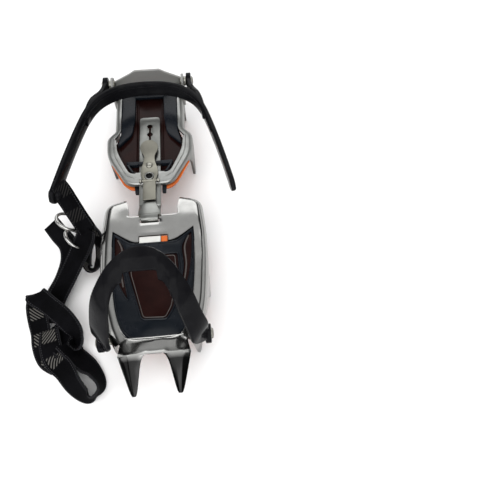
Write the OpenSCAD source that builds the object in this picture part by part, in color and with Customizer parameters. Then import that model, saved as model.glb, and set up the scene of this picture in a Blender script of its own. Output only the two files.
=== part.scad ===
// Twelve-point strap-on mountaineering crampon for a left boot, standing on its points.
// Millimetres. Toe towards -Y, heel towards +Y, up is +Z, the floor is z = 0.
// X = 0 is the centre line of the link bar and the heel frame.

/* [Sheet and stance] */
// Thickness of the stamped steel sheet of both frames
sheet = 2.2; // [1.8:0.1:2.6]
// Height of the top of both plates above the point tips
plate_top = 42; // [38:1:48]
// Outside radius of the bend from plate to side wall
bend_r = 7; // [5:0.5:8]
// Depth of the side walls between the points
wall_depth = 14; // [12:0.5:17]
// Width of a point's blunt tip
tip_w = 3; // [2:0.5:4]

/* [Toe frame] */
// Half of the greatest width of the toe frame
toe_half = 47.5; // [45:0.5:50]
// How far the toe frame's middle lies beside the bar, for a left boot
toe_offset = 3; // [0:0.5:5]
// Y of the greatest width
toe_mid_y = -38; // [-42:1:-34]
// Plan radius of the long sides
toe_side_r = 400; // [350:10:500]
// Y where the sides begin to taper to the toe
taper_y = -89; // [-93:1:-86]
// Plan radius of the tapering sides
taper_r = 110; // [100:2:125]
// Y where the side walls end at the toe
toe_wall_y = -126; // [-128:1:-125]
// Y of the bend line of the front points
front_bend_y = -133; // [-136:1:-132]
// Y where the sides turn in to the rear arms
arm_turn_y = 3.5; // [0:0.5:5]
// Plan radius of the arms' outer corners
arm_corner_r = 12; // [11:0.5:14]
// Turn of the arms' outer corners in degrees
arm_turn = 69; // [62:1:72]
// Length of the straight rear edge of each arm
arm_edge = 11.5; // [9:0.5:13]
// Width of the flat rail beside the window
rail_w = 11; // [10:0.5:13]
// Y of the floor of the notch between the arms
notch_y = -4.5; // [-6:0.5:-4]
// Half width of the notch at its floor
notch_half = 21.7; // [20:0.5:23]

/* [Front points] */
// Length of a front point from the bend line
front_len = 34; // [28:1:40]
// Width of a front point at its root
front_root = 21.5; // [19:0.5:22]
// Gap between the roots of the front points
front_gap = 15.5; // [14:0.5:17]
// Drop of the front points in degrees
front_drop = 32; // [24:1:38]
// Width of a front point near its tip
front_tip = 5; // [4:0.5:7]

/* [Toe window] */
// Y of the window's front edge
window_front_y = -121; // [-122:0.5:-118]
// Half width of the window's straight front edge
window_front_half = 15; // [12:0.5:17]
// Y of the window's rear edge in the middle
window_rear_y = -31.5; // [-33:0.5:-30.5]
// Half width of the window's rear edge
window_rear_half = 20; // [18:0.5:22]
// Y of the tops of the window's two ears
ear_y = -15.5; // [-18:0.5:-14]
// Half width of the spare slot, open to the window, that shows the tag
tag_slot_half = 13; // [12:0.5:15]
// Width of the tag
tag_w = 18.6; // [16:0.2:20]
// How far the tag reaches into the window
tag_lap = 2.2; // [1:0.2:3]

/* [Link bar] */
// Width of the bar
bar_w = 20.3; // [19:0.1:21]
// Thickness of the bar
bar_t = 2; // [1.6:0.1:2.2]
// Y of the bar's rear end
bar_rear_y = 115.5; // [112:0.5:122]
// Distance between adjusting holes
hole_pitch = 10.5; // [9.5:0.5:11]
// Diameter of the adjusting holes
hole_d = 5.4; // [5:0.1:6]
// Number of adjusting holes
hole_count = 7; // [7:1:7]
// Width of the slit that joins the holes
slit_w = 3.2; // [3.1:0.1:3.6]
// Width of the hook at the front of the bar
hook_w = 16; // [13:0.5:17]
// Length of the hook's foot under the toe frame
hook_foot = 9; // [7:0.5:11]
// Length of each slot for the hook, along Y
slot_len = 4.4; // [4.2:0.1:5]
// Steel left behind the rear slot
slot_lip = 3.3; // [3:0.1:4]
// Distance from the slot in use to the spare slot in front of it
slot_pitch = 17.5; // [17:0.5:18]

/* [Heel frame] */
// Y of the front edge of the heel frame
heel_front_y = 31; // [29:0.5:33]
// Half width of the straight front edge
heel_front_half = 15; // [14:0.5:15.5]
// Half width over the shoulders
heel_shoulder = 42.5; // [41:0.5:44]
// Half width along the rear sides
heel_half = 34.5; // [33.5:0.5:36]
// Y of the middle of the shoulders
shoulder_y = 76; // [74:1:79]
// Length of the straight shoulder sides
shoulder_len = 20; // [18:1:22]
// Depth of the front cross-member, along Y
cross_depth = 13.4; // [12.5:0.2:14.5]
// Y of the rear face of the upright heel wall
heel_rear_y = 160; // [157:1:163]
// Height of the heel wall above the plate
heel_wall_h = 18; // [15:0.5:21]
// Width of the heel wall's top edge
heel_wall_top = 25; // [22:1:30]
// Width of the flat rail beside the heel window
heel_rail_w = 6; // [5.5:0.25:7]
// Outside radius of the heel frame's bends
heel_bend_r = 4.5; // [4:0.25:5]

/* [Lever] */
// Thickness of the lever
lever_t = 1.6; // [1.4:0.1:2]
// Y of the lever's rounded finger tab
tab_y = 81; // [79:0.5:84]
// Width of the finger tab
tab_w = 17; // [15:0.5:19]
// Width of the lever at its waist
waist_w = 10.5; // [9.5:0.5:12]
// Width of the lever over the cross-member
lever_w = 16; // [15:0.5:16.5]
// Width of the lever's narrow front run
lever_front_w = 12; // [11:0.5:13]
// Y of the lever's front end
lever_front_y = 11.5; // [10.5:0.5:13]
// Y of the lock pin
pin_y = 51; // [50.5:0.5:51.5]
// Diameter of the lock pin's shank
pin_d = 4.8; // [4.4:0.1:5]
// Diameter of the lock pin's neck in the slit
neck_d = 2.6; // [2.2:0.1:2.6]
// Y of the lever's eyelet
eyelet_y = 38.3; // [38:0.1:39]
// Bore of the eyelet
eyelet_bore = 6; // [5:0.2:6.4]
// Diameter of the eyelet's rim
eyelet_d = 9.2; // [8.6:0.2:9.6]
// Diameter of the lever's pivot pin
pivot_d = 1.4; // [1.2:0.1:1.6]

/* [Bails] */
// Y of the toe bail's rivets
toe_pivot_y = -118; // [-119:0.5:-116.5]
// Depth of the toe bail's rivets below the plate
toe_pivot_drop = 8; // [8:0.25:9]
// Height of the toe bail above its rivets
toe_bail_h = 74; // [70:1:80]
// How far the toe bail's top reaches behind its rivets
toe_bail_reach = 46; // [42:1:50]
// Half width of the window for the strap in the toe bail
bail_window_half = 12.5; // [11:0.5:13.5]
// Depth of the window for the strap in the toe bail
bail_window_len = 7; // [5:0.5:9]
// Thickness of both bails
bail_t = 5; // [4.5:0.25:5.5]
// Radius of the eyes at the ends of both bails
eye_r = 8; // [7.5:0.25:8.5]
// Diameter of the bail rivets
rivet_d = 5; // [4.5:0.25:5.5]
// Y of the heel bail's rivets
heel_pivot_y = 151; // [149:0.5:152]
// Height of the heel bail's rivets above the plate
heel_pivot_rise = 10; // [9:0.5:12]
// Height of the heel bail's band
band_h = 16; // [14:0.5:18]
// Half width between the tips of the heel bail's arms
bail_tip_half = 76; // [74:0.5:78]
// Y of the tips of the heel bail's arms
bail_tip_y = 3; // [0:1:6]
// Y of the rear of the heel bail's band
band_rear_y = 131; // [129:0.5:132]
// Rise of the heel bail's arms in degrees
heel_bail_rise = 4; // [3:0.5:5]

/* [Anti-snow guards] */
// Thickness of the guards' membranes
membrane_t = 1.6; // [1.2:0.1:2]
// Thickness of the guards' flanges under the plates
guard_flange_t = 2; // [1.6:0.1:2.4]
// Overlap of the guards' flanges under the plates
guard_overlap = 2.5; // [2:0.25:3]

/* [Strap] */
// Width of the webbing
webbing_w = 19; // [17:0.5:20]
// Thickness of the webbing
webbing_t = 1.8; // [1.4:0.1:2.2]
// Outside diameter of the rings
ring_d = 24; // [22:0.5:26]
// Wire diameter of the rings
ring_wire = 3; // [2.6:0.1:3.4]

/* [Hidden] */

// Clearances
slide_gap = 0.3;
fit_gap = 0.08;
side_gap = 0.4;
lip_gap = 0.6;
seat_gap = 0.1;
eps = 0.01;

steel = [0.78, 0.78, 0.77];
satin = [0.66, 0.64, 0.61];
black = [0.06, 0.06, 0.07];
dark_red = [0.28, 0.07, 0.05];
orange = [0.93, 0.36, 0.06];
pale = [0.82, 0.82, 0.78];
cloth = [0.10, 0.10, 0.11];

plate_low = plate_top - sheet;
bar_top = plate_low - slide_gap;
bar_low = bar_top - bar_t;

// Toe outline: two arcs a side, given by centres and angles
side_c = [toe_half - toe_side_r, toe_mid_y];
taper_a = asin((taper_y - toe_mid_y) / toe_side_r);
taper_c = side_c + (toe_side_r - taper_r) * [cos(taper_a), sin(taper_a)];

toe_pivot_z = plate_top - toe_pivot_drop;
function toe_wall_x(y) = taper_c.x + sqrt(pow(taper_r, 2) - pow(y - taper_c.y, 2));
washer_r = rivet_d / 2 + 2.2;
head_r = rivet_d / 2 + 2;
toe_eye_x = toe_wall_x(toe_pivot_y + eye_r + 0.5) + 1.4;
toe_washer_x = toe_wall_x(toe_pivot_y + washer_r) + seat_gap;
toe_rivet_in = toe_wall_x(toe_pivot_y - head_r) - sheet * 1.14;

slot_rear_y = notch_y - slot_lip;
slot_mid_y = slot_rear_y - slot_len / 2;
slot_half = hook_w / 2 + 1;
hook_z = plate_top + lip_gap;

heel_pivot_z = plate_top + heel_pivot_rise;
heel_ear_x = heel_half + seat_gap + sheet;
heel_back_y = heel_rear_y + seat_gap;
heel_eye_x = heel_ear_x + 3;
cross_rear_y = heel_front_y + cross_depth;

lever_low = plate_top + side_gap;
lever_top = lever_low + lever_t;
lever_pivot_y = heel_front_y + 2.2;
barrel_r = pivot_d / 2 + 0.6;
lever_pivot_z = plate_top + slide_gap + barrel_r;
lug_x = lever_front_w / 2 + 1 + side_gap;
lug_w = 2;

function arc_points(c, r, a0, a1, n) =
    [for (i = [0:n]) let (a = a0 + (a1 - a0) * i / n) c + r * [cos(a), sin(a)]];
function mirrored(points) =
    [for (i = [len(points) - 1:-1:0]) [-points[i].x, points[i].y]];
function unit(v) = v / norm(v);
function reversed(p) = [for (i = [len(p) - 1:-1:0]) p[i]];

// A smooth curve through points, with n steps between two of them
function curve_at(a, b, c, d, t) =
    (2 * b + (c - a) * t + (2 * a - 5 * b + 4 * c - d) * t * t + (3 * b - a - 3 * c + d) * pow(t, 3)) / 2;
function smoothed(p, n) = let (last = len(p) - 1) concat(
    [for (i = [0:last - 1], k = [0:n - 1])
        curve_at(p[max(i - 1, 0)], p[i], p[i + 1], p[min(i + 2, last)], k / n)],
    [p[last]]);

// Outline of a rail chain: a segment is [length] or [radius, turn], turning left of the heading
function pose_after(p, s) =
    len(s) == 1
        ? [p[0] + s[0] * cos(p[2]), p[1] + s[0] * sin(p[2]), p[2]]
        : let (side = sign(s[1]), c = [p[0], p[1]] + side * s[0] * [-sin(p[2]), cos(p[2])],
               h = p[2] + s[1])
          [c.x + side * s[0] * sin(h), c.y - side * s[0] * cos(h), h];
function pose_at(p, chain, n) = n == 0 ? p : pose_after(pose_at(p, chain, n - 1), chain[n - 1]);

// Places along a chain: arcs are stepped by turn
function along(p, s) = let (n = len(s) == 1 ? 1 : ceil(abs(s[1]) / 9))
    [for (i = [1:n]) pose_after(p, len(s) == 1 ? s : [s[0], s[1] * i / n])];
function chain_poses(start, chain) = concat([start],
    [for (k = [0:len(chain) - 1]) each along(pose_at(start, chain, k), chain[k])]);

// Section of a formed rail, from the inner edge over the bend to the foot of the wall:
// each entry is [inwards, height] on the outer skin, or on the inner skin if skin is 1
bend_steps = 4;
function rail_skin(width, r, low, skin) = concat(
    [[width, plate_top - skin * sheet]],
    [for (k = [0:bend_steps]) let (a = 90 + 90 * k / bend_steps)
        [r, plate_top - r] + (r - skin * sheet) * [cos(a), sin(a)]],
    [[skin * sheet, low]]);
function set_in(p, q) = [p[0] - sin(p[2]) * q[0], p[1] + cos(p[2]) * q[0], q[1]];
function flipped(p) = [-p[0], p[1], p[2]];

// A formed sheet: rows of outer and inner points, and which cells of the grid are there
module formed_sheet(outer, inner, cells) {
    n = len(outer[0]);
    size = len(outer) * n;
    function there(i, j) = i >= 0 && j >= 0 && i < len(cells) && j < n - 1 && cells[i][j];
    faces = [for (i = [0:len(cells) - 1], j = [0:n - 2]) if (cells[i][j])
        let (a = i * n + j, b = a + 1, c = a + n + 1, d = a + n)
        each concat(
            [[a, b, c], [a, c, d], [a + size, c + size, b + size], [a + size, d + size, c + size]],
            there(i - 1, j) ? [] : [[a, a + size, b + size], [a, b + size, b]],
            there(i + 1, j) ? [] : [[d, c + size, d + size], [d, c, c + size]],
            there(i, j - 1) ? [] : [[a, d + size, a + size], [a, d, d + size]],
            there(i, j + 1) ? [] : [[b, b + size, c + size], [b, c + size, c]])];
    polyhedron([for (skin = [outer, inner], row = skin) each row], faces);
}

module both_sides() {
    children();
    mirror([1, 0, 0]) children();
}

// A cylinder along X from x0 to x1
module cross_pin(x0, x1, y, z, r) {
    translate([x0, y, z]) rotate([0, 90, 0]) cylinder(r = r, h = x1 - x0, $fn = 48);
}

// Foot of a wall along y: each point is [front, tip, rear], in order of y
function foot_table(points, base) = [for (p = points) each
    [[p[0], base], [p[0] + (p[1] - p[0]) * 0.18, base - 5], [p[1] - tip_w / 2, 0], [p[1] + tip_w / 2, 0],
     [p[2] - (p[2] - p[1]) * 0.18, base - 5], [p[2], base]]];

// Toe frame
wall_base = plate_top - wall_depth;
arm_base = plate_top - 9;
toe_points = [[toe_wall_y, toe_wall_y + 4, toe_wall_y + 18], [-84, -70, -58], [-23, -9, 1]];
toe_feet = foot_table(toe_points, wall_base);
toe_rows_y = concat(
    [for (k = [0:5]) toe_feet[k][0]], [toe_wall_y + 24, toe_wall_y + 30, taper_y],
    [for (k = [6:11]) toe_feet[k][0]], [-48, -38, -30],
    [for (k = [12:13]) toe_feet[k][0]], [ear_y - 2.5], [for (k = [14:17]) toe_feet[k][0]], [arm_turn_y]);
ear_row = 20;

function toe_pose(y) = let (c = y < taper_y ? taper_c : side_c, r = y < taper_y ? taper_r : toe_side_r,
                            a = asin((y - c.y) / r))
    [c.x + r * cos(a), y, 90 + a];
arm_chain = [[arm_corner_r, arm_turn], [arm_edge]];
arm_poses = chain_poses(toe_pose(arm_turn_y), arm_chain);
arm_rows = len(arm_poses) - 1;
toe_poses = concat([for (y = toe_rows_y) toe_pose(y)], [for (i = [1:arm_rows]) arm_poses[i]]);
toe_low = concat([for (y = toe_rows_y) lookup(y, toe_feet)],
                 [for (i = [1:arm_rows]) wall_base + (arm_base - wall_base) * i / arm_rows]);
// The bridge behind the window, with the spare slot and the slot in use as gaps in the grid
tag_slot_y = slot_rear_y - slot_pitch;
bridge_y = [window_rear_y, tag_slot_y, slot_rear_y - slot_len, slot_rear_y, notch_y];
notch_row = ear_row + len(bridge_y) - 1;
toe_last = len(toe_poses) - 1;

// Columns from the middle outwards: middle, end of the slots, notch, then the rail
window_corner = [window_rear_half, window_rear_y + 0.5];
notch_corner = [notch_half, notch_y];
function toe_third(i) =
    i <= ear_row ? window_corner
    : i <= notch_row
        ? window_corner + (notch_corner - window_corner) * (i - ear_row) / (notch_row - ear_row)
    : notch_corner + [0.5, 6] * (i - notch_row) / (toe_last - notch_row);
// The spare slot lies about the toe frame's middle, the slot in use about the bar's
function slot_ends(i, side) =
    i <= ear_row + 1 ? [0, tag_slot_half] : [for (x = [0, slot_half]) x - side * toe_offset];
function toe_row(i, skin, side) = let (
        z = plate_top - skin * sheet,
        rail = [for (q = rail_skin(rail_w, bend_r, toe_low[i], skin)) set_in(toe_poses[i], q)],
        y = bridge_y[max(0, min(len(bridge_y) - 1, i - ear_row))],
        middle = i == 0
            ? [for (x = [0, front_gap / 2, window_front_half]) [x, window_front_y, z]]
            : [for (x = slot_ends(i, side)) [x, y, z]])
    concat(middle, i == 0 ? [] : [[toe_third(i).x, toe_third(i).y, z]], rail);

// Rows of a front point, from the tip to the bend line
front_rows = [1, 0.97, 0.55, 0.22, 0];
front_share = [0, 0.09, 0.42, 0.76, 1];
function front_row(k, skin) = let (
        u = front_len * front_rows[k],
        mitre = k == len(front_rows) - 1 ? [sheet * tan(front_drop / 2), -sheet]
                                         : [sin(front_drop), -cos(front_drop)] * sheet,
        y = front_bend_y - u * cos(front_drop) + skin * mitre[0],
        z = plate_top - u * sin(front_drop) + skin * mitre[1],
        half = (front_tip + (front_root - front_tip) * front_share[k]) / 2,
        x0 = front_gap / 2 + front_root / 2 - half,
        x1 = front_gap / 2 + front_root / 2 + half)
    concat([[0, y, z]], [for (t = [0:3]) [x0 + (x1 - x0) * t / 3, y, z]],
           [for (t = [0:bend_steps]) [x1 + 1 + t, y, z]]);

function whole_row(right, left) =
    concat([for (j = [len(right) - 1:-1:1]) flipped(left[j])], right);
function toe_rows(skin) = concat(
    [for (k = [0:len(front_rows) - 1]) whole_row(front_row(k, skin), front_row(k, skin))],
    [for (i = [0:toe_last]) whole_row(toe_row(i, skin, 1), toe_row(i, skin, -1))]);

// Cells by column: 0 is beside the middle, 1 and 2 to the rail, then the rail itself
function toe_cell(i, c) = let (front = len(front_rows) - 1, k = i - len(front_rows))
    i < front ? c >= 1 && c <= 3
    : i == front ? c <= 3
    : k < ear_row ? c >= 3
    : k < notch_row ? c > 0 || (k - ear_row) % 2 == 1
    : c >= 2;
toe_columns = len(toe_row(0, 0, 1)) - 1;
function toe_column(j) = j < toe_columns ? toe_columns - 1 - j : j - toe_columns;
toe_cells = [for (i = [0:len(front_rows) + len(toe_poses) - 2])
    [for (j = [0:2 * toe_columns - 1]) toe_cell(i, toe_column(j))]];

function toe_window(grow) = let (
        w = rail_w - grow,
        a0 = asin((window_front_y + 8 - taper_c.y) / (taper_r - w)),
        a1 = asin((ear_y - 2.5 + 2 * grow - side_c.y) / toe_side_r),
        right = concat(
            [[window_front_half, window_front_y - grow]],
            arc_points(taper_c, taper_r - w, a0, taper_a, 6),
            arc_points(side_c, toe_side_r - w, taper_a, a1, 8),
            [[window_rear_half - grow * 0.4, window_rear_y + 0.5 + grow]],
            [[window_rear_half - 4, window_rear_y + grow]]))
    concat(right, mirrored(right));

module toe_frame() {
    color(steel) difference() {
        translate([toe_offset, 0, 0]) formed_sheet(toe_rows(0), toe_rows(1), toe_cells);
        translate([toe_offset, 0, 0]) both_sides()
            cross_pin(toe_rivet_in - 1, toe_eye_x, toe_pivot_y, toe_pivot_z, rivet_d / 2 + fit_gap);
    }
}

// Toe guard: a black frame that fills the window and laps under the plate
membrane_rear_y = window_rear_y - 7;
membrane_front_y = window_front_y + 16;
guard_top = plate_top - 0.6;
guard_low = plate_low - seat_gap - guard_flange_t;

function toe_membrane(grow) = [
    [-10.5 - grow, membrane_front_y - grow], [10.5 + grow, membrane_front_y - grow],
    [22.5 + grow, membrane_front_y + 46], [22.5 + grow, membrane_rear_y + grow],
    [-22.5 - grow, membrane_rear_y + grow], [-22.5 - grow, membrane_front_y + 46]];

// The tag lies on a tongue of the guard that fills the spare slot
tag_t = 0.8;
tag_low = plate_top - 1.8;
tag_len = tag_slot_y - window_rear_y + tag_lap - side_gap - 0.3;
module tag_plan(grow) {
    translate([-tag_slot_half + side_gap + 0.3 - grow, window_rear_y - tag_lap - grow])
        square([tag_w, tag_len] + [2, 2] * grow);
}
module tongue_plan(grow) {
    half = tag_slot_half + grow;
    translate([-half, window_rear_y - 3]) square([2 * half, tag_slot_y + grow - window_rear_y + 3]);
}

ear_recess = [[24.2, -38], [32.6, -38], [33.6, -23], [32.6, -23]];

module toe_guard_frame() {
    color(black) translate([toe_offset, 0, 0]) difference() {
        translate([0, 0, guard_low]) {
            linear_extrude(guard_top - guard_low) polygon(toe_window(-side_gap));
            linear_extrude(guard_flange_t) polygon(toe_window(guard_overlap));
            linear_extrude(tag_low - guard_low) tongue_plan(-side_gap);
            linear_extrude(guard_flange_t) tongue_plan(guard_overlap);
        }
        translate([0, 0, guard_low - 1]) linear_extrude(10) polygon(toe_membrane(-2));
        translate([0, 0, guard_low + 1]) linear_extrude(10) polygon(toe_membrane(0));
        both_sides() translate([0, 0, guard_low + 1.4]) linear_extrude(10) polygon(ear_recess);
        translate([0, 0, tag_low]) linear_extrude(10) tag_plan(seat_gap);
    }
}

module toe_guard_membrane() {
    color(dark_red) translate([toe_offset, 0, guard_low + 1 + seat_gap])
        linear_extrude(membrane_t) polygon(toe_membrane(-0.15));
}

module toe_guard_rim() {
    color(orange) translate([toe_offset, 0, guard_low - seat_gap - 1.6]) difference() {
        linear_extrude(1.6) polygon(toe_window(1));
        translate([0, 0, -1]) linear_extrude(4) polygon(toe_membrane(-3));
    }
}

module size_tag() {
    color(pale) translate([toe_offset, 0, tag_low + seat_gap]) linear_extrude(tag_t) tag_plan(0);
}

// Toe bail: a band from eye to eye that laps back over the boot's toe. Its two edges are given from
// the right rivet's axis to the middle, as x, distance behind the axis and height above it
eye_mid = toe_eye_x + bail_t / 2;
bail_rear_edge = [[eye_mid, 5.5, 2], [eye_mid - 0.4, 2.5, 13], [eye_mid + 0.5, 2, 26],
                  [eye_mid - 2.5, 4.5, 45], [36, 13, toe_bail_h - 12], [30, 22, toe_bail_h - 4.5],
                  [25, 30, toe_bail_h - 1.5], [18, toe_bail_reach - 8, toe_bail_h - 0.5],
                  [9, toe_bail_reach - 2, toe_bail_h], [0, toe_bail_reach, toe_bail_h]];
bail_front_edge = [[eye_mid, -5.5, 2], [33, -13, 16], [31, -12, 29], [27.5, -5.5, 44],
                   [24.5, 0, toe_bail_h - 13], [21, 9, toe_bail_h - 5], [18, 15, toe_bail_h - 5],
                   [15, 18.5, toe_bail_h - 5], [9, 20, toe_bail_h - 4], [0, 20, toe_bail_h - 3.5]];

// A band between two edges: four corners at each station
module band(rear, front, thick) {
    last = len(rear) - 1;
    corners = [for (i = [0:last]) let (
                   a = max(i - 1, 0), b = min(i + 1, last),
                   t = rear[b] + front[b] - rear[a] - front[a],
                   n = unit(cross(t, front[i] - rear[i])) * thick / 2)
               each [rear[i] - n, front[i] - n, front[i] + n, rear[i] + n]];
    faces = [for (i = [0:last - 1], k = [0:3]) let (a = 4 * i + k, b = 4 * i + (k + 1) % 4)
             each [[a, a + 4, b], [b, a + 4, b + 4]]];
    end = 4 * last;
    polyhedron(corners, concat(
        faces, [[0, 1, 2], [0, 2, 3], [end, end + 2, end + 1], [end, end + 3, end + 2]]));
}

function whole_edge(half) = let (right = smoothed(half, 3))
    concat(right, [for (i = [len(right) - 2:-1:0]) flipped(right[i])]);

module toe_bail() {
    clear_r = eye_r + 1;
    color(black) translate([toe_offset, toe_pivot_y, toe_pivot_z]) difference() {
        union() {
            band(whole_edge(bail_rear_edge), whole_edge(bail_front_edge), bail_t - 2 * slide_gap);
            both_sides() cross_pin(toe_eye_x, toe_eye_x + bail_t, 0, 0, eye_r);
        }
        both_sides() {
            cross_pin(toe_eye_x - 1, toe_eye_x + bail_t + 4, 0, 0, rivet_d / 2 + fit_gap);
            cross_pin(toe_eye_x + bail_t, toe_eye_x + bail_t + clear_r, 0, 0, clear_r);
            cross_pin(toe_eye_x - clear_r, toe_eye_x, 0, 0, clear_r);
        }
        translate([-bail_window_half, 20 - clear_r, toe_bail_h - 20])
            cube([2 * bail_window_half, clear_r + bail_window_len, 40]);
    }
}

// A rivet through a bail's eye: shank, outer head and inner head
module bail_rivet(x_in, x_out, y, z) {
    cross_pin(x_in, x_out, y, z, rivet_d / 2);
    cross_pin(x_in - 1.8, x_in, y, z, head_r);
    cross_pin(x_out, x_out + 1.4, y, z, head_r);
    cross_pin(x_out + 1.4, x_out + 2, y, z, head_r - 1);
}

module bail_washer(x0, x1, y, z) {
    difference() {
        cross_pin(x0, x1, y, z, washer_r);
        cross_pin(x0 - 1, x1 + 1, y, z, rivet_d / 2 + fit_gap);
    }
}

module toe_bail_rivets() {
    color(satin) translate([toe_offset, 0, 0]) both_sides()
        bail_rivet(toe_rivet_in, toe_eye_x + bail_t + slide_gap, toe_pivot_y, toe_pivot_z);
}

module toe_bail_washers() {
    color(satin) translate([toe_offset, 0, 0]) both_sides()
        bail_washer(toe_washer_x, toe_eye_x - slide_gap, toe_pivot_y, toe_pivot_z);
}

// Link bar: flat run, ramp over the lip of the toe frame, hook down through the slot
ramp_rear_y = lever_front_y - 1.5;
ramp_front_y = notch_y + 2.5;
first_hole_y = pin_y + 5 * hole_pitch;

module bar_profile(points, width) {
    rotate([90, 0, 90]) translate([0, 0, -width / 2]) linear_extrude(width) polygon(points);
}

module link_bar() {
    corner = 4;
    hook_rear_y = slot_mid_y + bar_t / 2;
    hook_front_y = hook_rear_y - bar_t;
    hook_low = plate_low - 3.8;
    hook_top = hook_z + bar_t;
    ramp_end_y = notch_y - 0.5;
    color(satin) difference() {
        union() {
            translate([0, 0, bar_low]) linear_extrude(bar_t) union() {
                translate([-bar_w / 2, ramp_rear_y]) square([bar_w, bar_rear_y - corner - ramp_rear_y]);
                for (s = [-1, 1]) translate([s * (bar_w / 2 - corner), bar_rear_y - corner])
                    circle(corner, $fn = 48);
                translate([corner - bar_w / 2, bar_rear_y - corner - 1])
                    square([bar_w - 2 * corner, corner + 1]);
            }
            bar_profile([[ramp_rear_y + eps, bar_low], [ramp_rear_y + eps, bar_top],
                         [ramp_front_y, hook_top], [ramp_end_y, hook_top], [ramp_end_y, hook_z],
                         [ramp_front_y, hook_z]], bar_w);
            cross_pin(-hook_w / 2, hook_w / 2, slot_mid_y, plate_low + sheet / 2, bar_t / 2 + slide_gap);
            bar_profile([[notch_y, hook_z], [notch_y, hook_top], [hook_front_y, hook_top],
                         [hook_front_y, hook_low], [hook_front_y - hook_foot, hook_low],
                         [hook_front_y - hook_foot, hook_low - bar_t], [hook_rear_y, hook_low - bar_t],
                         [hook_rear_y, hook_z]], hook_w);
        }
        for (i = [0:hole_count - 1]) translate([0, first_hole_y - i * hole_pitch, bar_low - 1])
            cylinder(d = hole_d, h = bar_t + 2, $fn = 48);
        translate([-slit_w / 2, first_hole_y - (hole_count - 1) * hole_pitch, bar_low - 1])
            cube([slit_w, (hole_count - 1) * hole_pitch, bar_t + 2]);
    }
}

// Heel frame: a strip formed along one chain, from the middle of the front to the rear
arm_a = 68;
flare_a = 37;
front_corner_r = 14;
shoulder_r = 10.5;
flare_r = 5;
waist_a = 43;
shoulder_front_y = shoulder_y - shoulder_len / 2;
arm_dx = heel_shoulder - heel_front_half - front_corner_r * sin(arm_a)
         - flare_r * (sin(arm_a) - sin(flare_a)) - shoulder_r * (1 - sin(flare_a));
arm_dy = shoulder_front_y - heel_front_y - front_corner_r * (1 - cos(arm_a))
         - flare_r * (cos(flare_a) - cos(arm_a)) - shoulder_r * cos(flare_a);
arm_run = (arm_dy * cos(flare_a) - arm_dx * sin(flare_a)) / sin(arm_a - flare_a);
flare_run = (arm_dx * sin(arm_a) - arm_dy * cos(arm_a)) / sin(arm_a - flare_a);
waist_run = (heel_shoulder - heel_half - (shoulder_r + flare_r) * (1 - cos(waist_a))) / sin(waist_a);
heel_points = [[shoulder_front_y, shoulder_front_y + 5, shoulder_front_y + shoulder_len],
               [heel_rear_y - 28, heel_rear_y - 14, heel_rear_y - 4]];
heel_feet = foot_table(heel_points, wall_base);
heel_front_chain = [[heel_front_half], [front_corner_r, arm_a], [arm_run], [flare_r, flare_a - arm_a],
                    [flare_run], [shoulder_r, 90 - flare_a]];
shoulder_steps = [for (k = [1:5]) [heel_feet[k][0] - heel_feet[k - 1][0]]];
waist_chain = [[shoulder_r, waist_a], [waist_run], [flare_r, -waist_a]];
heel_part_chain = concat(heel_front_chain, shoulder_steps, waist_chain);
heel_start = [0, heel_front_y, 0];
heel_side_start = pose_at(heel_start, heel_part_chain, len(heel_part_chain));
heel_side_y = heel_side_start[1];
waist_y = pose_at(heel_start, heel_part_chain, len(heel_part_chain) - 2)[1];
heel_rear_steps = concat([[heel_feet[6][0] - heel_side_y]],
                         [for (k = [7:11]) [heel_feet[k][0] - heel_feet[k - 1][0]]],
                         [[heel_rear_y - heel_feet[11][0]]]);
heel_poses = chain_poses(heel_start, concat(heel_part_chain, heel_rear_steps));
heel_front_low = plate_top - 7;
heel_low_table = concat([[heel_front_y, heel_front_low], [shoulder_front_y - 14, heel_front_low]],
                        heel_feet, [[heel_rear_y, wall_base]]);
heel_width_table = [[heel_front_y, cross_depth], [heel_front_y + 9, 10.6], [shoulder_front_y - 9, 10],
                    [shoulder_front_y + shoulder_len, 9.6], [waist_y, 7.5], [heel_side_y, heel_rail_w],
                    [heel_rear_y + 1, heel_rail_w]];

function heel_row(p, skin) = let (
        width = lookup(p[1], heel_width_table),
        low = lookup(p[1], heel_low_table))
    [for (q = rail_skin(width, heel_bend_r, low, skin)) set_in(p, q)];
function heel_rows(skin) = let (right = [for (p = heel_poses) heel_row(p, skin)])
    concat([for (i = [len(right) - 1:-1:1]) [for (q = right[i]) flipped(q)]], right);
heel_cells = [for (i = [1:2 * len(heel_poses) - 2]) [for (j = [0:bend_steps + 1]) true]];

module heel_frame() {
    color(steel) difference() {
        formed_sheet(heel_rows(0), heel_rows(1), heel_cells);
        translate([-bar_w / 2 - side_gap, heel_front_y - 1, bar_low - slide_gap])
            cube([bar_w + 2 * side_gap, heel_bend_r + 3, bar_t + 2 * slide_gap]);
    }
}

// Heel bracket: an upright wall behind the heel with an ear each side for the bail
side_top = plate_top + 4;

module heel_bracket_wall() {
    top = plate_top + heel_wall_h;
    half = [[heel_ear_x, wall_base], [heel_ear_x, side_top], [heel_wall_top / 2 + 6, top - 4],
            [heel_wall_top / 2, top]];
    translate([0, heel_back_y + sheet, 0]) rotate([90, 0, 0]) linear_extrude(sheet)
        polygon(concat(half, mirrored(half)));
}

module heel_ear() {
    ear_r = eye_r - 0.6;
    ear_front_y = heel_pivot_y - 12;
    ear_rear_y = heel_back_y + 1;
    translate([heel_ear_x - sheet, 0, 0]) rotate([90, 0, 90]) linear_extrude(sheet)
        polygon([[ear_front_y, wall_base + 2], [ear_rear_y, wall_base], [ear_rear_y, side_top],
                 [heel_pivot_y + ear_r, heel_pivot_z], [heel_pivot_y - ear_r, heel_pivot_z],
                 [ear_front_y, plate_top - 2]]);
    cross_pin(heel_ear_x - sheet, heel_ear_x, heel_pivot_y, heel_pivot_z, ear_r);
}

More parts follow.
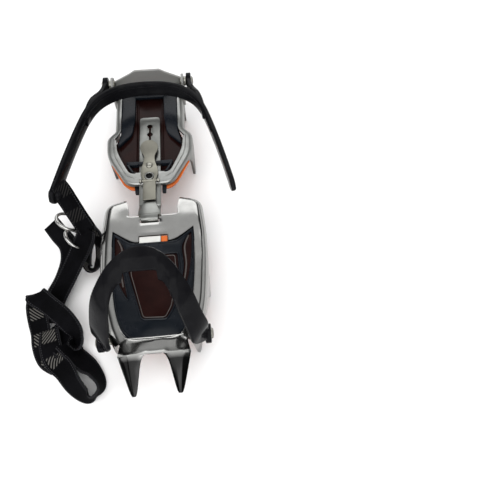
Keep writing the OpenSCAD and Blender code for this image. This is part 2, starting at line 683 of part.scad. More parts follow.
module heel_bracket() {
    color(steel) difference() {
        union() {
            heel_bracket_wall();
            both_sides() heel_ear();
        }
        both_sides()
            cross_pin(heel_ear_x - 6, heel_ear_x + 2, heel_pivot_y, heel_pivot_z, rivet_d / 2 + fit_gap);
    }
}

// Lever bracket: two lugs fixed on the cross-member, which hold the ends of the lever's pin
module lever_lug() {
    lug_r = 2;
    translate([lug_x, lever_pivot_y - lug_r, plate_top + eps])
        cube([lug_w, 2 * lug_r, lever_pivot_z - plate_top - eps]);
    cross_pin(lug_x, lug_x + lug_w, lever_pivot_y, lever_pivot_z, lug_r);
}

module lever_bracket() {
    color(satin) difference() {
        both_sides() lever_lug();
        both_sides()
            cross_pin(lug_x - 1, lug_x + lug_w + 1, lever_pivot_y, lever_pivot_z, pivot_d / 2 + fit_gap);
        translate([-20, lever_pivot_y - 5, plate_top - 5]) cube([40, 10, 5 + eps]);
    }
}

// Heel guard: two side panels joined at the rear, a channel under the bar and a tray below
panel_in = 14;
panel_front_y = shoulder_y + 2;
panel_rear_y = heel_rear_y - 11;
channel_top = bar_low - 2;
channel_half = panel_in + 8;

function heel_panel(grow) = let (
        side = heel_half - heel_rail_w - side_gap + grow,
        tip = heel_shoulder - 11 - side_gap + grow)
    [[panel_in + 5.5, panel_front_y + 7], [tip, panel_front_y], [tip, panel_front_y + 5],
     [side, waist_y + 2], [side, panel_rear_y], [panel_in, panel_rear_y], [panel_in, panel_rear_y - 12]];

module heel_guard_frame() {
    rear_len = 7;
    half = panel_in + 1;
    color(black) translate([0, 0, guard_low]) {
        both_sides() {
            linear_extrude(guard_top - guard_low) polygon(heel_panel(0));
            linear_extrude(guard_flange_t) polygon(heel_panel(guard_overlap - 1));
        }
        translate([-half, panel_rear_y - rear_len, 0]) cube([2 * half, rear_len, guard_top - guard_low]);
    }
}

module heel_guard_membrane() {
    front_y = cross_rear_y - 2;
    half = channel_half - 5;
    outline = [[channel_half, front_y], [channel_half, panel_front_y + 10], [half, panel_rear_y - 14],
               [half, panel_rear_y - 2]];
    inside = [for (p = outline) p - [membrane_t, 0]];
    floor_z = channel_top - membrane_t;
    color(dark_red) translate([0, 0, floor_z]) {
        linear_extrude(membrane_t) polygon(concat(outline, mirrored(outline)));
        both_sides() linear_extrude(guard_low - seat_gap - floor_z)
            polygon(concat(outline, reversed(inside)));
    }
}

module heel_guard_rim() {
    outer = [[heel_front_half + 4, heel_front_y - 4], [heel_front_half + 12, shoulder_front_y - 14],
             [heel_shoulder - 10, shoulder_front_y + 4], [heel_shoulder - 10, shoulder_y + 6],
             [heel_half - 7, waist_y + 10], [heel_half - 7, panel_rear_y]];
    hole = [[panel_in, shoulder_front_y], [panel_in - 2, panel_rear_y - 10]];
    tray_t = 2;
    color(orange) translate([0, 0, channel_top - membrane_t - seat_gap - tray_t])
        linear_extrude(tray_t) difference() {
            polygon(concat(outer, mirrored(outer)));
            polygon(concat(hole, mirrored(hole)));
        }
}

module bar_guide() {
    y0 = pin_y + 3;
    leg = bar_w / 2 + side_gap;
    low = channel_top + seat_gap;
    foot = channel_half - membrane_t - slide_gap;
    color(black) difference() {
        union() {
            translate([-foot, y0, low]) cube([2 * foot, 4, plate_top - low]);
            translate([-channel_half, y0, guard_low + slide_gap])
                cube([2 * channel_half, 4, plate_top - guard_low - slide_gap]);
        }
        translate([-leg, y0 - 1, channel_top - 1])
            cube([2 * leg, 6, bar_top + slide_gap - channel_top + 1]);
    }
}

// Lever: a leaf with a finger tab, hinged at the front edge of the cross-member
module lever_outline() {
    tab_c = tab_y - tab_w / 2;
    right = [[lever_front_w / 2 - 1, lever_front_y], [lever_front_w / 2, lever_front_y + 1],
             [lever_front_w / 2, lever_pivot_y + 1.5], [lever_w / 2, lever_pivot_y + 6],
             [lever_w / 2, pin_y - 5], [waist_w / 2 + 0.8, pin_y + 3], [waist_w / 2, pin_y + 8],
             [waist_w / 2 + 0.6, tab_c - tab_w / 2 + 1], [tab_w / 2 - 1.2, tab_c - 3]];
    polygon(concat(right, mirrored(right)));
    translate([0, tab_c]) circle(d = tab_w, $fn = 64);
}

module adjust_lever() {
    color(satin) difference() {
        union() {
            translate([0, 0, lever_low]) linear_extrude(lever_t) lever_outline();
            cross_pin(side_gap - lug_x, lug_x - side_gap, lever_pivot_y, lever_pivot_z, barrel_r);
        }
        translate([0, eyelet_y, lever_low - 1])
            cylinder(d = eyelet_bore + 1 + 2 * fit_gap, h = lever_t + 2, $fn = 48);
        translate([0, pin_y, lever_low - 1]) cylinder(d = pin_d + 2 * fit_gap, h = lever_t + 2, $fn = 48);
        cross_pin(-lug_x, lug_x, lever_pivot_y, lever_pivot_z, pivot_d / 2 + fit_gap);
        // Relief in the barrel for the eyelet's rim
        translate([0, eyelet_y, lever_top]) cylinder(d = eyelet_d + 2 * seat_gap, h = lever_t, $fn = 48);
    }
}

module lever_pin() {
    color(steel) translate([0, pin_y, 0]) rotate_extrude($fn = 48)
        polygon([[0, bar_low - 0.7], [neck_d / 2, bar_low - 0.7], [neck_d / 2, bar_top + 0.5],
                 [pin_d / 2, bar_top + 0.5], [pin_d / 2, lever_top], [3.2, lever_top],
                 [3, lever_top + 0.7], [2, lever_top + 1.1], [0, lever_top + 1.2]]);
}

module lever_eyelet() {
    bore_r = eyelet_bore / 2;
    rim_r = eyelet_d / 2;
    color(steel) translate([0, eyelet_y, 0]) rotate_extrude($fn = 48)
        polygon([[bore_r, lever_low], [bore_r + 0.5, lever_low], [bore_r + 0.5, lever_top],
                 [rim_r, lever_top], [rim_r - 0.3, lever_top + 0.6], [bore_r + 0.6, lever_top + 0.9],
                 [bore_r, lever_top + 0.6]]);
}

module lever_pivot() {
    color(steel) cross_pin(-lug_x - lug_w, lug_x + lug_w, lever_pivot_y, lever_pivot_z, pivot_d / 2);
}

// Heel bail: a band behind the heel that runs forward as two arms, with struts to the rivets
bail_path = [[bail_tip_half, bail_tip_y], [bail_tip_half - 8, bail_tip_y + 38],
             [bail_tip_half - 17, bail_tip_y + 78], [bail_tip_half - 24, band_rear_y - 24],
             [bail_tip_half - 31, band_rear_y - 12], [30, band_rear_y - 4],
             [15, band_rear_y - 0.8], [0, band_rear_y]];
arm_turned = atan2(bail_path[0].x - bail_path[1].x, bail_path[1].y - bail_path[0].y);
heel_eye_mid = heel_eye_x + bail_t / 2;
strut_path = [[bail_tip_half - 19.5, band_rear_y - 42], [heel_eye_mid + 9.5, band_rear_y - 18],
              [heel_eye_mid + 3, band_rear_y + 2], [heel_eye_mid, heel_pivot_y - 5]];
band_low = heel_pivot_z + 2;
band_t = 4;

function path_normal(p, i) = let (t = unit(p[min(i + 1, len(p) - 1)] - p[max(i - 1, 0)])) [-t.y, t.x];
function beside(p, d) = [for (i = [0:len(p) - 1]) p[i] + d * path_normal(p, i)];

module strip(path, width) {
    polygon(concat(beside(path, width / 2), reversed(beside(path, -width / 2))));
}

module strut_side() {
    rotate([90, 0, 90]) linear_extrude(bail_tip_half + 10)
        polygon([[strut_path[0].y - 2, band_low + 1], [strut_path[0].y - 2, band_low + band_h - 1],
                 [strut_path[1].y, band_low + band_h - 1], [heel_pivot_y - 3, heel_pivot_z + eye_r - 0.5],
                 [heel_pivot_y - 3, heel_pivot_z - eye_r + 0.5], [strut_path[2].y, heel_pivot_z - 5]]);
}

// A disc or bore across the tip of the right arm
module arm_tip(d, h) {
    translate([bail_tip_half, bail_tip_y, band_low + band_h / 2]) rotate([0, 90, arm_turned])
        translate([0, 0, -h / 2]) cylinder(d = d, h = h, $fn = 48);
}

module heel_bail_half() {
    translate([0, 0, band_low]) linear_extrude(band_h) strip(bail_path, band_t);
    arm_tip(band_h, band_t);
    intersection() {
        translate([0, 0, heel_pivot_z - 20]) linear_extrude(60) strip(strut_path, bail_t);
        strut_side();
    }
    cross_pin(heel_eye_x, heel_eye_x + bail_t, heel_pivot_y, heel_pivot_z, eye_r);
}

module heel_bail() {
    eye_at = [0, heel_pivot_y, heel_pivot_z];
    bore_r = rivet_d / 2 + fit_gap;
    color(black) translate(eye_at) rotate([-heel_bail_rise, 0, 0]) translate(-eye_at) difference() {
        both_sides() heel_bail_half();
        both_sides() cross_pin(heel_eye_x - 1, heel_eye_x + bail_t + 4, heel_pivot_y, heel_pivot_z, bore_r);
        mirror([1, 0, 0]) arm_tip(2 * bore_r, 20);
    }
}

module heel_bail_rivets() {
    color(satin) both_sides()
        bail_rivet(heel_ear_x - sheet - seat_gap, heel_eye_x + bail_t + slide_gap,
                   heel_pivot_y, heel_pivot_z);
}

module heel_bail_washers() {
    color(satin) both_sides() bail_washer(heel_ear_x, heel_eye_x - slide_gap, heel_pivot_y, heel_pivot_z);
}

// Strap: everything below hangs from the tip of the left arm
function raised(y, z) = let (dy = y - heel_pivot_y, dz = z - heel_pivot_z)
    [heel_pivot_y + dy * cos(heel_bail_rise) + dz * sin(heel_bail_rise),
     heel_pivot_z - dy * sin(heel_bail_rise) + dz * cos(heel_bail_rise)];
tip_yz = raised(bail_tip_y, band_low + band_h / 2);
tip_at = [-bail_tip_half, tip_yz[0], tip_yz[1]];
tab_t = 2 * webbing_t;
tab_foot = tip_at + [0, -5, -30];
ring_turn = 53;
ring_axis = [cos(ring_turn), sin(ring_turn), 0];
ring_at = tab_foot - [0, 0, ring_d / 2 + side_gap + slide_gap];

// A flat ribbon: points of its centre line and the directions of its width
function ribbon_corner(c, w, n, k) = c + (k == 0 || k == 3 ? -1 : 1) * w + (k < 2 ? -1 : 1) * n;

module ribbon(points, sides, width, thick) {
    last = len(points) - 1;
    rings = [for (i = [0:last]) let (
                t = unit(points[min(i + 1, last)] - points[max(i - 1, 0)]),
                w = unit(sides[i] - t * (sides[i] * t)),
                n = cross(t, w))
             for (k = [0:3]) ribbon_corner(points[i], w * width / 2, n * thick / 2, k)];
    faces = [for (i = [0:last - 1], k = [0:3], h = [0, 1]) let (a = 4 * i + k, b = 4 * i + (k + 1) % 4)
                h == 0 ? [a, a + 4, b] : [b, a + 4, b + 4]];
    end = 4 * last;
    polyhedron(rings, concat(
        faces, [[0, 1, 2], [0, 2, 3], [end, end + 2, end + 1], [end, end + 3, end + 2]]));
}

module strap_tab() {
    along_arm = [sin(arm_turned), cos(arm_turned), 0];
    inner = tip_at + (band_t / 2 + tab_t / 2 + slide_gap + 1) * [cos(arm_turned), -sin(arm_turned), 0];
    color(cloth) difference() {
        ribbon([inner + [0, 0, 7], inner, inner + [0.4, -1.2, -11], inner + [-2.6, -3, -20], tab_foot],
               [along_arm, along_arm, along_arm, [-0.45, 0.9, 0], [-sin(ring_turn), cos(ring_turn), 0]],
               webbing_w, tab_t);
        translate(tip_at) rotate([0, 90, -arm_turned]) translate([0, 0, -5])
            cylinder(d = rivet_d + 2 * fit_gap, h = 20, $fn = 48);
    }
}

module tab_rivet() {
    reach = band_t / 2 + tab_t + slide_gap + 3.4;
    color(satin) translate(tip_at) rotate([0, 90, -arm_turned]) {
        translate([0, 0, -band_t / 2 - 0.2]) cylinder(d = rivet_d, h = band_t / 2 + reach, $fn = 48);
        translate([0, 0, -band_t / 2 - 2]) cylinder(d = 11, h = 1.8, $fn = 48);
        translate([0, 0, reach - 0.2]) cylinder(d = 9, h = 1.4, $fn = 48);
    }
}

module ring() {
    rotate([0, 0, ring_turn]) rotate([0, 90, 0]) rotate_extrude($fn = 96)
        translate([ring_d / 2 - ring_wire / 2, 0]) circle(d = ring_wire, $fn = 32);
}

module ring_a() {
    color(steel) translate(ring_at - ring_axis * (ring_wire + slide_gap) / 2) ring();
}

module ring_b() {
    color(steel) translate(ring_at + ring_axis * (ring_wire + slide_gap) / 2) ring();
}

// Long webbing: from under the rings to the floor, a knot, and the loop that the knot leaves
strap_top = ring_at - [0, 0, ring_d / 2 + slide_gap + webbing_t / 2];
run_points = [strap_top, [-80, -16, 11], [-84, -36, 5], [-89, -58, 4], [-93, -78, 9]];
run_sides = [[-sin(ring_turn), cos(ring_turn), 0], [-0.9, 0.4, 0.1], [-1, 0.25, 0], [-1, 0.2, 0],
             [-1, 0.2, 0]];
knot_points = [[-108, -78, 11], [-84, -92, 13], [-92, -112, 11]];
knot_r = 9.5;
loop_points = [[-92, -112, 8], [-86, -130, 5], [-72, -144, 9], [-58, -148, 11], [-49, -140, 11],
               [-53, -126, 11], [-66, -114, 11], [-82, -106, 11]];
loop_sides = [[1, 0.3, 0.2], [0.8, 0.6, 0.2], [0.5, 0.6, 0.6], [0, 0.2, 1], [0, 0, 1],
              [0, 0, 1], [0, 0, 1], [0, 0, 1]];

module strap() {
    color(cloth) union() {
        ribbon(run_points, run_sides, webbing_w, webbing_t);
        hull() for (p = knot_points) translate(p) sphere(knot_r, $fn = 20);
        ribbon(loop_points, loop_sides, webbing_w, webbing_t);
    }
}

toe_frame();
toe_guard_frame();
toe_guard_membrane();
toe_guard_rim();
size_tag();
toe_bail();
toe_bail_rivets();
toe_bail_washers();
link_bar();
heel_frame();
heel_bracket();
lever_bracket();
heel_guard_frame();
heel_guard_membrane();
heel_guard_rim();
bar_guide();
adjust_lever();
lever_pin();
lever_eyelet();
lever_pivot();
heel_bail();
heel_bail_rivets();
heel_bail_washers();
strap_tab();
tab_rivet();
ring_a();
ring_b();
strap();
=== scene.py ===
import math
import bmesh
import bpy
from mathutils import Matrix, Vector


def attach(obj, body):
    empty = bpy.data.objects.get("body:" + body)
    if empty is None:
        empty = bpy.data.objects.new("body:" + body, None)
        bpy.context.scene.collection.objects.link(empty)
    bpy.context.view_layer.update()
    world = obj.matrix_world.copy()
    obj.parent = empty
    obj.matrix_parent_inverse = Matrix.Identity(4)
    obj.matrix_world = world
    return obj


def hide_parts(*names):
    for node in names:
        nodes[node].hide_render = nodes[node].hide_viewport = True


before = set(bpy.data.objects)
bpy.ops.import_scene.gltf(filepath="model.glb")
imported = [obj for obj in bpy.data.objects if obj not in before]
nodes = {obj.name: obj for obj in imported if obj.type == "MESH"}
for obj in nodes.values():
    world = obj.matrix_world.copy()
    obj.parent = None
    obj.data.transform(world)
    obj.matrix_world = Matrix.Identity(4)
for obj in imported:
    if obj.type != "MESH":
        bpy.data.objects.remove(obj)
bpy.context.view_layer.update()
scene = bpy.context.scene
scene.view_settings.view_transform = "Standard"

# Shapes are in millimetres, as in the part's source; piece() turns them into metres
MM = 0.001
SHEET = 2.2
PLATE_TOP = 42.0
WALL_BASE = 28.0
TOE_X = 3.0

# Camera at the photograph's place, angles in degrees
CAMERA_AT = (63.4, -252.7, 429.5)
CAMERA_ELEVATION = 62.0
CAMERA_YAW = -6.7
CAMERA_ROLL = 1.4
CAMERA_LENS = 36


def linked(name, data):
    obj = bpy.data.objects.new(name, data)
    scene.collection.objects.link(obj)
    return obj


def photo_camera():
    elevation, yaw, roll = (math.radians(a) for a in (CAMERA_ELEVATION, CAMERA_YAW, CAMERA_ROLL))
    forward = Vector((0, math.cos(elevation), -math.sin(elevation)))
    level = Vector((1, 0, 0))
    above = level.cross(forward)
    right = level * math.cos(roll) + above * math.sin(roll)
    up = above * math.cos(roll) - level * math.sin(roll)
    turn = Matrix.Rotation(yaw, 3, "Z")
    place = Matrix([turn @ axis for axis in (right, up, -forward)]).transposed().to_4x4()
    place.translation = Vector(CAMERA_AT) * MM
    data = bpy.data.cameras.new("photo_camera")
    data.sensor_width = 36
    data.lens = CAMERA_LENS
    data.clip_start = 0.01
    camera = linked("photo_camera", data)
    camera.matrix_world = place
    scene.camera = camera


photo_camera()


# Node helpers that the finishes, the stitches and the sky share
FLOAT = "NodeSocketFloat"
SHAPE = "NodeSocketGeometry"
FINISH = "NodeSocketMaterial"


def group_sockets(group, inputs, outputs):
    for name, kind, value in inputs:
        socket = group.interface.new_socket(name, in_out="INPUT", socket_type=kind)
        if value is not None:
            socket.default_value = value
    for name, kind in outputs:
        group.interface.new_socket(name, in_out="OUTPUT", socket_type=kind)
    return group.nodes.new("NodeGroupInput"), group.nodes.new("NodeGroupOutput")


def feed(tree, socket, value):
    """Another node's output is linked to the socket; a number or a colour is set on it."""
    if isinstance(value, bpy.types.NodeSocket):
        tree.links.new(value, socket)
    elif socket.type == "RGBA":
        socket.default_value = (*value, 1)
    else:
        socket.default_value = value


def math_node(tree, operation, *values, clamp=False):
    node = tree.nodes.new("ShaderNodeMath")
    node.operation = operation
    node.use_clamp = clamp
    for socket, value in zip(node.inputs, values):
        feed(tree, socket, value)
    return node.outputs[0]


def times(tree, first, second):
    return math_node(tree, "MULTIPLY", first, second)


def noise_node(tree, vector, scale, detail, roughness=0.5):
    node = tree.nodes.new("ShaderNodeTexNoise")
    for name, value in (("Vector", vector), ("Scale", scale), ("Detail", detail), ("Roughness", roughness)):
        feed(tree, node.inputs[name], value)
    return node.outputs["Fac"]


def range_node(tree, value, low, high, to_low=0.0, to_high=1.0):
    node = tree.nodes.new("ShaderNodeMapRange")
    names = ("Value", "From Min", "From Max", "To Min", "To Max")
    for name, given in zip(names, (value, low, high, to_low, to_high)):
        feed(tree, node.inputs[name], given)
    return node.outputs["Result"]


def mix_colour(tree, factor, first, second):
    node = tree.nodes.new("ShaderNodeMix")
    node.data_type = "RGBA"
    feed(tree, node.inputs["Factor"], factor)
    feed(tree, node.inputs[6], first)
    feed(tree, node.inputs[7], second)
    return node.outputs[2]


def coordinates(tree, kind):
    return tree.nodes.new("ShaderNodeTexCoord").outputs[kind]


def xyz(tree, vector):
    node = tree.nodes.new("ShaderNodeSeparateXYZ")
    tree.links.new(vector, node.inputs[0])
    return node.outputs["X"], node.outputs["Y"], node.outputs["Z"]


# Shader groups: handling marks, moulded grain and woven webbing
def handling_group():
    """Fine scratches and rubbed patches of a used surface."""
    g = bpy.data.node_groups.new("handling_marks", "ShaderNodeTree")
    start, end = group_sockets(
        g,
        [("Patch Scale", FLOAT, 40.0), ("Scratch Scale", FLOAT, 300.0), ("Clean", FLOAT, 0.2),
         ("Rubbed", FLOAT, 0.4)],
        [("Roughness", FLOAT), ("Patches", FLOAT)])
    where = coordinates(g, "Object")
    patches = noise_node(g, where, start.outputs["Patch Scale"], 4.0, 0.6)
    stretch = g.nodes.new("ShaderNodeMapping")
    stretch.inputs["Scale"].default_value = (1.0, 0.12, 1.0)
    stretch.inputs["Rotation"].default_value = (0.2, 0.1, 0.7)
    g.links.new(where, stretch.inputs["Vector"])
    lines = noise_node(g, stretch.outputs["Vector"], start.outputs["Scratch Scale"], 6.0, 0.7)
    scratch = range_node(g, lines, 0.58, 0.72)
    worn = range_node(g, patches, 0.4, 0.68)
    both_marks = math_node(g, "ADD", times(g, worn, 0.75), times(g, scratch, 0.3), clamp=True)
    rough = range_node(g, both_marks, 0.0, 1.0, start.outputs["Clean"], start.outputs["Rubbed"])
    g.links.new(rough, end.inputs["Roughness"])
    g.links.new(worn, end.inputs["Patches"])
    return g


def moulding_group():
    """Fine pebbled grain of moulded plastic."""
    g = bpy.data.node_groups.new("moulded_grain", "ShaderNodeTree")
    start, end = group_sockets(g, [("Scale", FLOAT, 1800.0)], [("Height", FLOAT)])
    where = coordinates(g, "Object")
    cells = g.nodes.new("ShaderNodeTexVoronoi")
    g.links.new(where, cells.inputs["Vector"])
    g.links.new(start.outputs["Scale"], cells.inputs["Scale"])
    fine = noise_node(g, where, start.outputs["Scale"], 2.0)
    g.links.new(math_node(g, "ADD", cells.outputs["Distance"], fine), end.inputs["Height"])
    return g


# Webbing pattern: UV runs along and across in centimetres
TWILL_PER_CM = 7
TWILL_LEAN = 1.6
STROKES_PER_CM = 3.2
BLOCK_CM = 2.4
HATCHED_HALF_CM = 0.62
# Distance from the middle, in cm, over which the painted highlight along the webbing's edges comes in
PAINTED_EDGE_HIGHLIGHT_CM = (0.84, 0.93)


def weave_group():
    """Woven webbing: cross ribs, a finer twill, blocks of grey hatching and a mask for the painted highlight
    along both edges.
    """
    g = bpy.data.node_groups.new("webbing_weave", "ShaderNodeTree")
    start, end = group_sockets(
        g,
        [("Ribs", FLOAT, 9.0), ("Hatching", FLOAT, 0.0), ("Until", FLOAT, 100.0)],
        [("Height", FLOAT), ("Mark", FLOAT), ("Painted Edge Highlight", FLOAT)])
    along, across, _ = xyz(g, coordinates(g, "UV"))
    turn = 2 * math.pi

    def wave(distance, per_cm):
        return math_node(g, "SINE", times(g, distance, turn * per_cm))

    ribs = wave(times(g, along, start.outputs["Ribs"]), 1)
    twill = wave(math_node(g, "ADD", along, times(g, across, TWILL_LEAN)), TWILL_PER_CM)
    strokes = wave(math_node(g, "ADD", along, across), STROKES_PER_CM)
    block = wave(along, 1 / BLOCK_CM)
    from_middle = math_node(g, "ABSOLUTE", across)
    middle = math_node(g, "LESS_THAN", from_middle, HATCHED_HALF_CM)
    inside = times(g, middle, math_node(g, "LESS_THAN", along, start.outputs["Until"]))
    drawn = times(g, range_node(g, strokes, 0.1, 0.5), range_node(g, block, 0.0, 0.25))
    mark = times(g, times(g, drawn, inside), start.outputs["Hatching"])
    g.links.new(math_node(g, "ADD", ribs, times(g, twill, 0.5)), end.inputs["Height"])
    g.links.new(range_node(g, from_middle, *PAINTED_EDGE_HIGHLIGHT_CM), end.inputs["Painted Edge Highlight"])
    g.links.new(mark, end.inputs["Mark"])
    return g


HANDLING = handling_group()
MOULDED = moulding_group()
WEAVE = weave_group()


# Finishes
def place_group(tree, group, **values):
    node = tree.nodes.new("ShaderNodeGroup")
    node.node_tree = group
    for name, value in values.items():
        node.inputs[name.replace("_", " ")].default_value = value
    return node


def finish_material(name):
    material = bpy.data.materials.new(name)
    material.use_nodes = True
    return material, material.node_tree, material.node_tree.nodes["Principled BSDF"]


def bump(tree, shader, height, strength, distance):
    node = tree.nodes.new("ShaderNodeBump")
    for name, value in (("Strength", strength), ("Distance", distance), ("Height", height)):
        feed(tree, node.inputs[name], value)
    tree.links.new(node.outputs["Normal"], shader.inputs["Normal"])


# Steel: the upward slope over which the painted wall shade gives way to the top's colour, and where painted
# shade darkens the points towards their tips, in metres
PAINTED_WALL_SHADE_SLOPE = (0.1, 0.75)
PAINTED_TIP_SHADE_Z = (0.010, 0.034)
PAINTED_TIP_SHADE_Y = (-0.1375, -0.1285)
PAINTED_TIP_SHADE_COLOUR = (0.016, 0.016, 0.016)


def steel_finish(name, bright, dull, wall, clean, rubbed, waviness, metallic=1.0, tip=PAINTED_TIP_SHADE_COLOUR):
    """Steel with handling marks; walls and points are painted darker, a painted shade standing in for their
    reflection of the ground round the crampon.
    """
    material, t, shader = finish_material(name)
    marks = place_group(t, HANDLING, Patch_Scale=55.0, Scratch_Scale=420.0, Clean=clean, Rubbed=rubbed)
    slope = xyz(t, t.nodes.new("ShaderNodeNewGeometry").outputs["Normal"])[2]
    place = coordinates(t, "Object")
    _, y, z = xyz(t, place)
    # Painted shade: the tip colour takes over low down and on the front points ahead of the bend
    off_painted_tip_shade = times(t, range_node(t, z, *PAINTED_TIP_SHADE_Z), range_node(t, y, *PAINTED_TIP_SHADE_Y))
    top = mix_colour(t, marks.outputs["Patches"], bright, dull)
    # Painted shade: sideways-facing walls take the darker wall colour in place of the top's colour
    whole = mix_colour(t, range_node(t, slope, *PAINTED_WALL_SHADE_SLOPE), wall, top)
    feed(t, shader.inputs["Base Color"], mix_colour(t, off_painted_tip_shade, tip, whole))
    feed(t, shader.inputs["Roughness"], marks.outputs["Roughness"])
    feed(t, shader.inputs["Metallic"], metallic)
    bump(t, shader, noise_node(t, place, 26.0, 1.0), 1.0, waviness)
    return material


def plastic_finish(name, colour, rubbed_colour, clean, rubbed, grain, relief, shine):
    material, t, shader = finish_material(name)
    marks = place_group(t, HANDLING, Patch_Scale=38.0, Scratch_Scale=260.0, Clean=clean, Rubbed=rubbed)
    feed(t, shader.inputs["Base Color"], mix_colour(t, marks.outputs["Patches"], colour, rubbed_colour))
    feed(t, shader.inputs["Roughness"], marks.outputs["Roughness"])
    feed(t, shader.inputs["Specular IOR Level"], shine)
    bump(t, shader, place_group(t, MOULDED, Scale=grain).outputs["Height"], 0.2, relief)
    return material


CLOTH, RUBBED_CLOTH = (0.0016, 0.0016, 0.002), (0.004, 0.004, 0.005)
# The edge grey is a painted highlight along the webbing's edges; the hatch grey is the webbing's own pattern
PAINTED_EDGE_HIGHLIGHT_GREY, HATCH_GREY = (0.02, 0.02, 0.022), (0.14, 0.135, 0.125)


def webbing_finish(name, hatching, until):
    material, t, shader = finish_material(name)
    weave = place_group(t, WEAVE, Hatching=hatching, Until=until)
    marks = place_group(t, HANDLING, Patch_Scale=60.0, Scratch_Scale=500.0, Clean=0.72, Rubbed=0.9)
    cloth = mix_colour(t, marks.outputs["Patches"], CLOTH, RUBBED_CLOTH)
    # Painted highlight: the colour turns lighter along both edges
    with_edge_highlight = mix_colour(t, weave.outputs["Painted Edge Highlight"], cloth, PAINTED_EDGE_HIGHLIGHT_GREY)
    feed(t, shader.inputs["Base Color"], mix_colour(t, weave.outputs["Mark"], with_edge_highlight, HATCH_GREY))
    feed(t, shader.inputs["Roughness"], marks.outputs["Roughness"])
    feed(t, shader.inputs["Specular IOR Level"], 0.03)
    bump(t, shader, weave.outputs["Height"], 0.5, 0.00025)
    return material


# The third colour of each steel is the painted shade of its walls
POLISHED = steel_finish("polished_steel", (0.38, 0.38, 0.37), (0.33, 0.33, 0.32), (0.26, 0.25, 0.24),
                        clean=0.11, rubbed=0.20, waviness=0.0024)
SATIN = steel_finish("satin_steel", (0.27, 0.265, 0.235), (0.22, 0.215, 0.19), (0.15, 0.145, 0.13),
                     clean=0.30, rubbed=0.44, waviness=0.0008)
BRUSHED = steel_finish("brushed_steel", (0.26, 0.26, 0.25), (0.23, 0.23, 0.22), (0.26, 0.26, 0.25),
                       clean=0.45, rubbed=0.6, waviness=0.0006, metallic=0.15)
# Sheet steel's tip colour is a lighter painted shade for its points
SHEET_STEEL = steel_finish("sheet_steel", (0.33, 0.335, 0.325), (0.27, 0.275, 0.265), (0.22, 0.215, 0.205),
                           clean=0.36, rubbed=0.5, waviness=0.0005, tip=(0.13, 0.125, 0.12))
BAR_STEEL = steel_finish("bar_steel", (0.23, 0.235, 0.225), (0.19, 0.195, 0.185), (0.15, 0.145, 0.13),
                         clean=0.30, rubbed=0.44, waviness=0.0008)
LEVER_STEEL = steel_finish("lever_steel", (0.205, 0.20, 0.17), (0.17, 0.165, 0.14), (0.11, 0.105, 0.095),
                           clean=0.30, rubbed=0.42, waviness=0.0008)
BAIL = plastic_finish("bail_plastic", (0.005, 0.005, 0.006), (0.010, 0.010, 0.011),
                      clean=0.10, rubbed=0.20, grain=2600.0, relief=0.00001, shine=0.035)
GUARD = plastic_finish("guard_plastic", (0.004, 0.006, 0.009), (0.009, 0.011, 0.015),
                       clean=0.22, rubbed=0.36, grain=1800.0, relief=0.00003, shine=0.16)
MEMBRANE = plastic_finish("guard_membrane", (0.011, 0.0038, 0.0034), (0.019, 0.0065, 0.0055),
                          clean=0.16, rubbed=0.3, grain=1500.0, relief=0.00003, shine=0.07)
ORANGE = plastic_finish("guard_orange", (0.62, 0.13, 0.015), (0.50, 0.11, 0.02),
                        clean=0.34, rubbed=0.5, grain=1600.0, relief=0.00004, shine=0.35)
TAG = plastic_finish("tag_plate", (0.72, 0.72, 0.69), (0.60, 0.60, 0.57),
                     clean=0.4, rubbed=0.55, grain=1400.0, relief=0.00003, shine=0.4)
# Pale grey of the raised ribs and outline on the toe guard: a painted highlight of their rims
RIM_HIGHLIGHT_PAINT = plastic_finish("guard_painted_rim_highlight", (0.085, 0.075, 0.07), (0.06, 0.05, 0.045),
                        clean=0.35, rubbed=0.5, grain=1500.0, relief=0.00003, shine=0.4)
THREAD = plastic_finish("thread_grey", (0.055, 0.055, 0.06), (0.04, 0.04, 0.045),
                        clean=0.7, rubbed=0.85, grain=1500.0, relief=0.00003, shine=0.1)
WEBBING = webbing_finish("webbing_plain", 0.0, 0.0)
HATCHED = webbing_finish("webbing_hatched", 0.8, 100.0)
PART_HATCHED = webbing_finish("webbing_part_hatched", 0.8, 3.4)
KNOT_HATCHED = webbing_finish("webbing_knot_hatched", 0.8, 6.0)
FAINT = webbing_finish("webbing_faint", 0.12, 100.0)

# Finishes of the CAD nodes that stay in sight; the other small ones are satin steel
CARRIED = {"heel_bracket": BRUSHED, "toe_guard_rim": ORANGE, "size_tag": TAG}
for name, obj in nodes.items():
    obj.data.materials.clear()
    obj.data.materials.append(CARRIED.get(name, SATIN))


# Outlines
SHARP_CORNER = 0.05


def blended(a, b, t):
    return tuple(p + (q - p) * t for p, q in zip(a, b))


def flipped(points):
    """The points on the other side of the middle plane."""
    return [(-p[0], *p[1:]) for p in points]


def mirrored(points):
    """A flipped outline that runs on from the end of the first."""
    return flipped(reversed(points))


def both_sides(points):
    return points, mirrored(points)


def arc(centre, radius, start, end, steps):
    turns = [math.radians(start + (end - start) * i / steps) for i in range(steps + 1)]
    return [(centre[0] + radius * math.cos(a), centre[1] + radius * math.sin(a)) for a in turns]


def rounded(points, radius, steps=5):
    """A closed outline with its corners rounded; radius is one number or one for each corner."""
    made = []
    for i, p in enumerate(points):
        r = radius[i] if isinstance(radius, list) else radius
        p = Vector(p)
        back = Vector(points[i - 1]) - p
        ahead = Vector(points[(i + 1) % len(points)]) - p
        r = min(r, back.length * 0.48, ahead.length * 0.48)
        if r < SHARP_CORNER:
            made.append(tuple(p))
            continue
        a = p + back.normalized() * r
        b = p + ahead.normalized() * r
        for t in (k / steps for k in range(steps + 1)):
            made.append(tuple(a * (1 - t) ** 2 + p * 2 * t * (1 - t) + b * t ** 2))
    return made


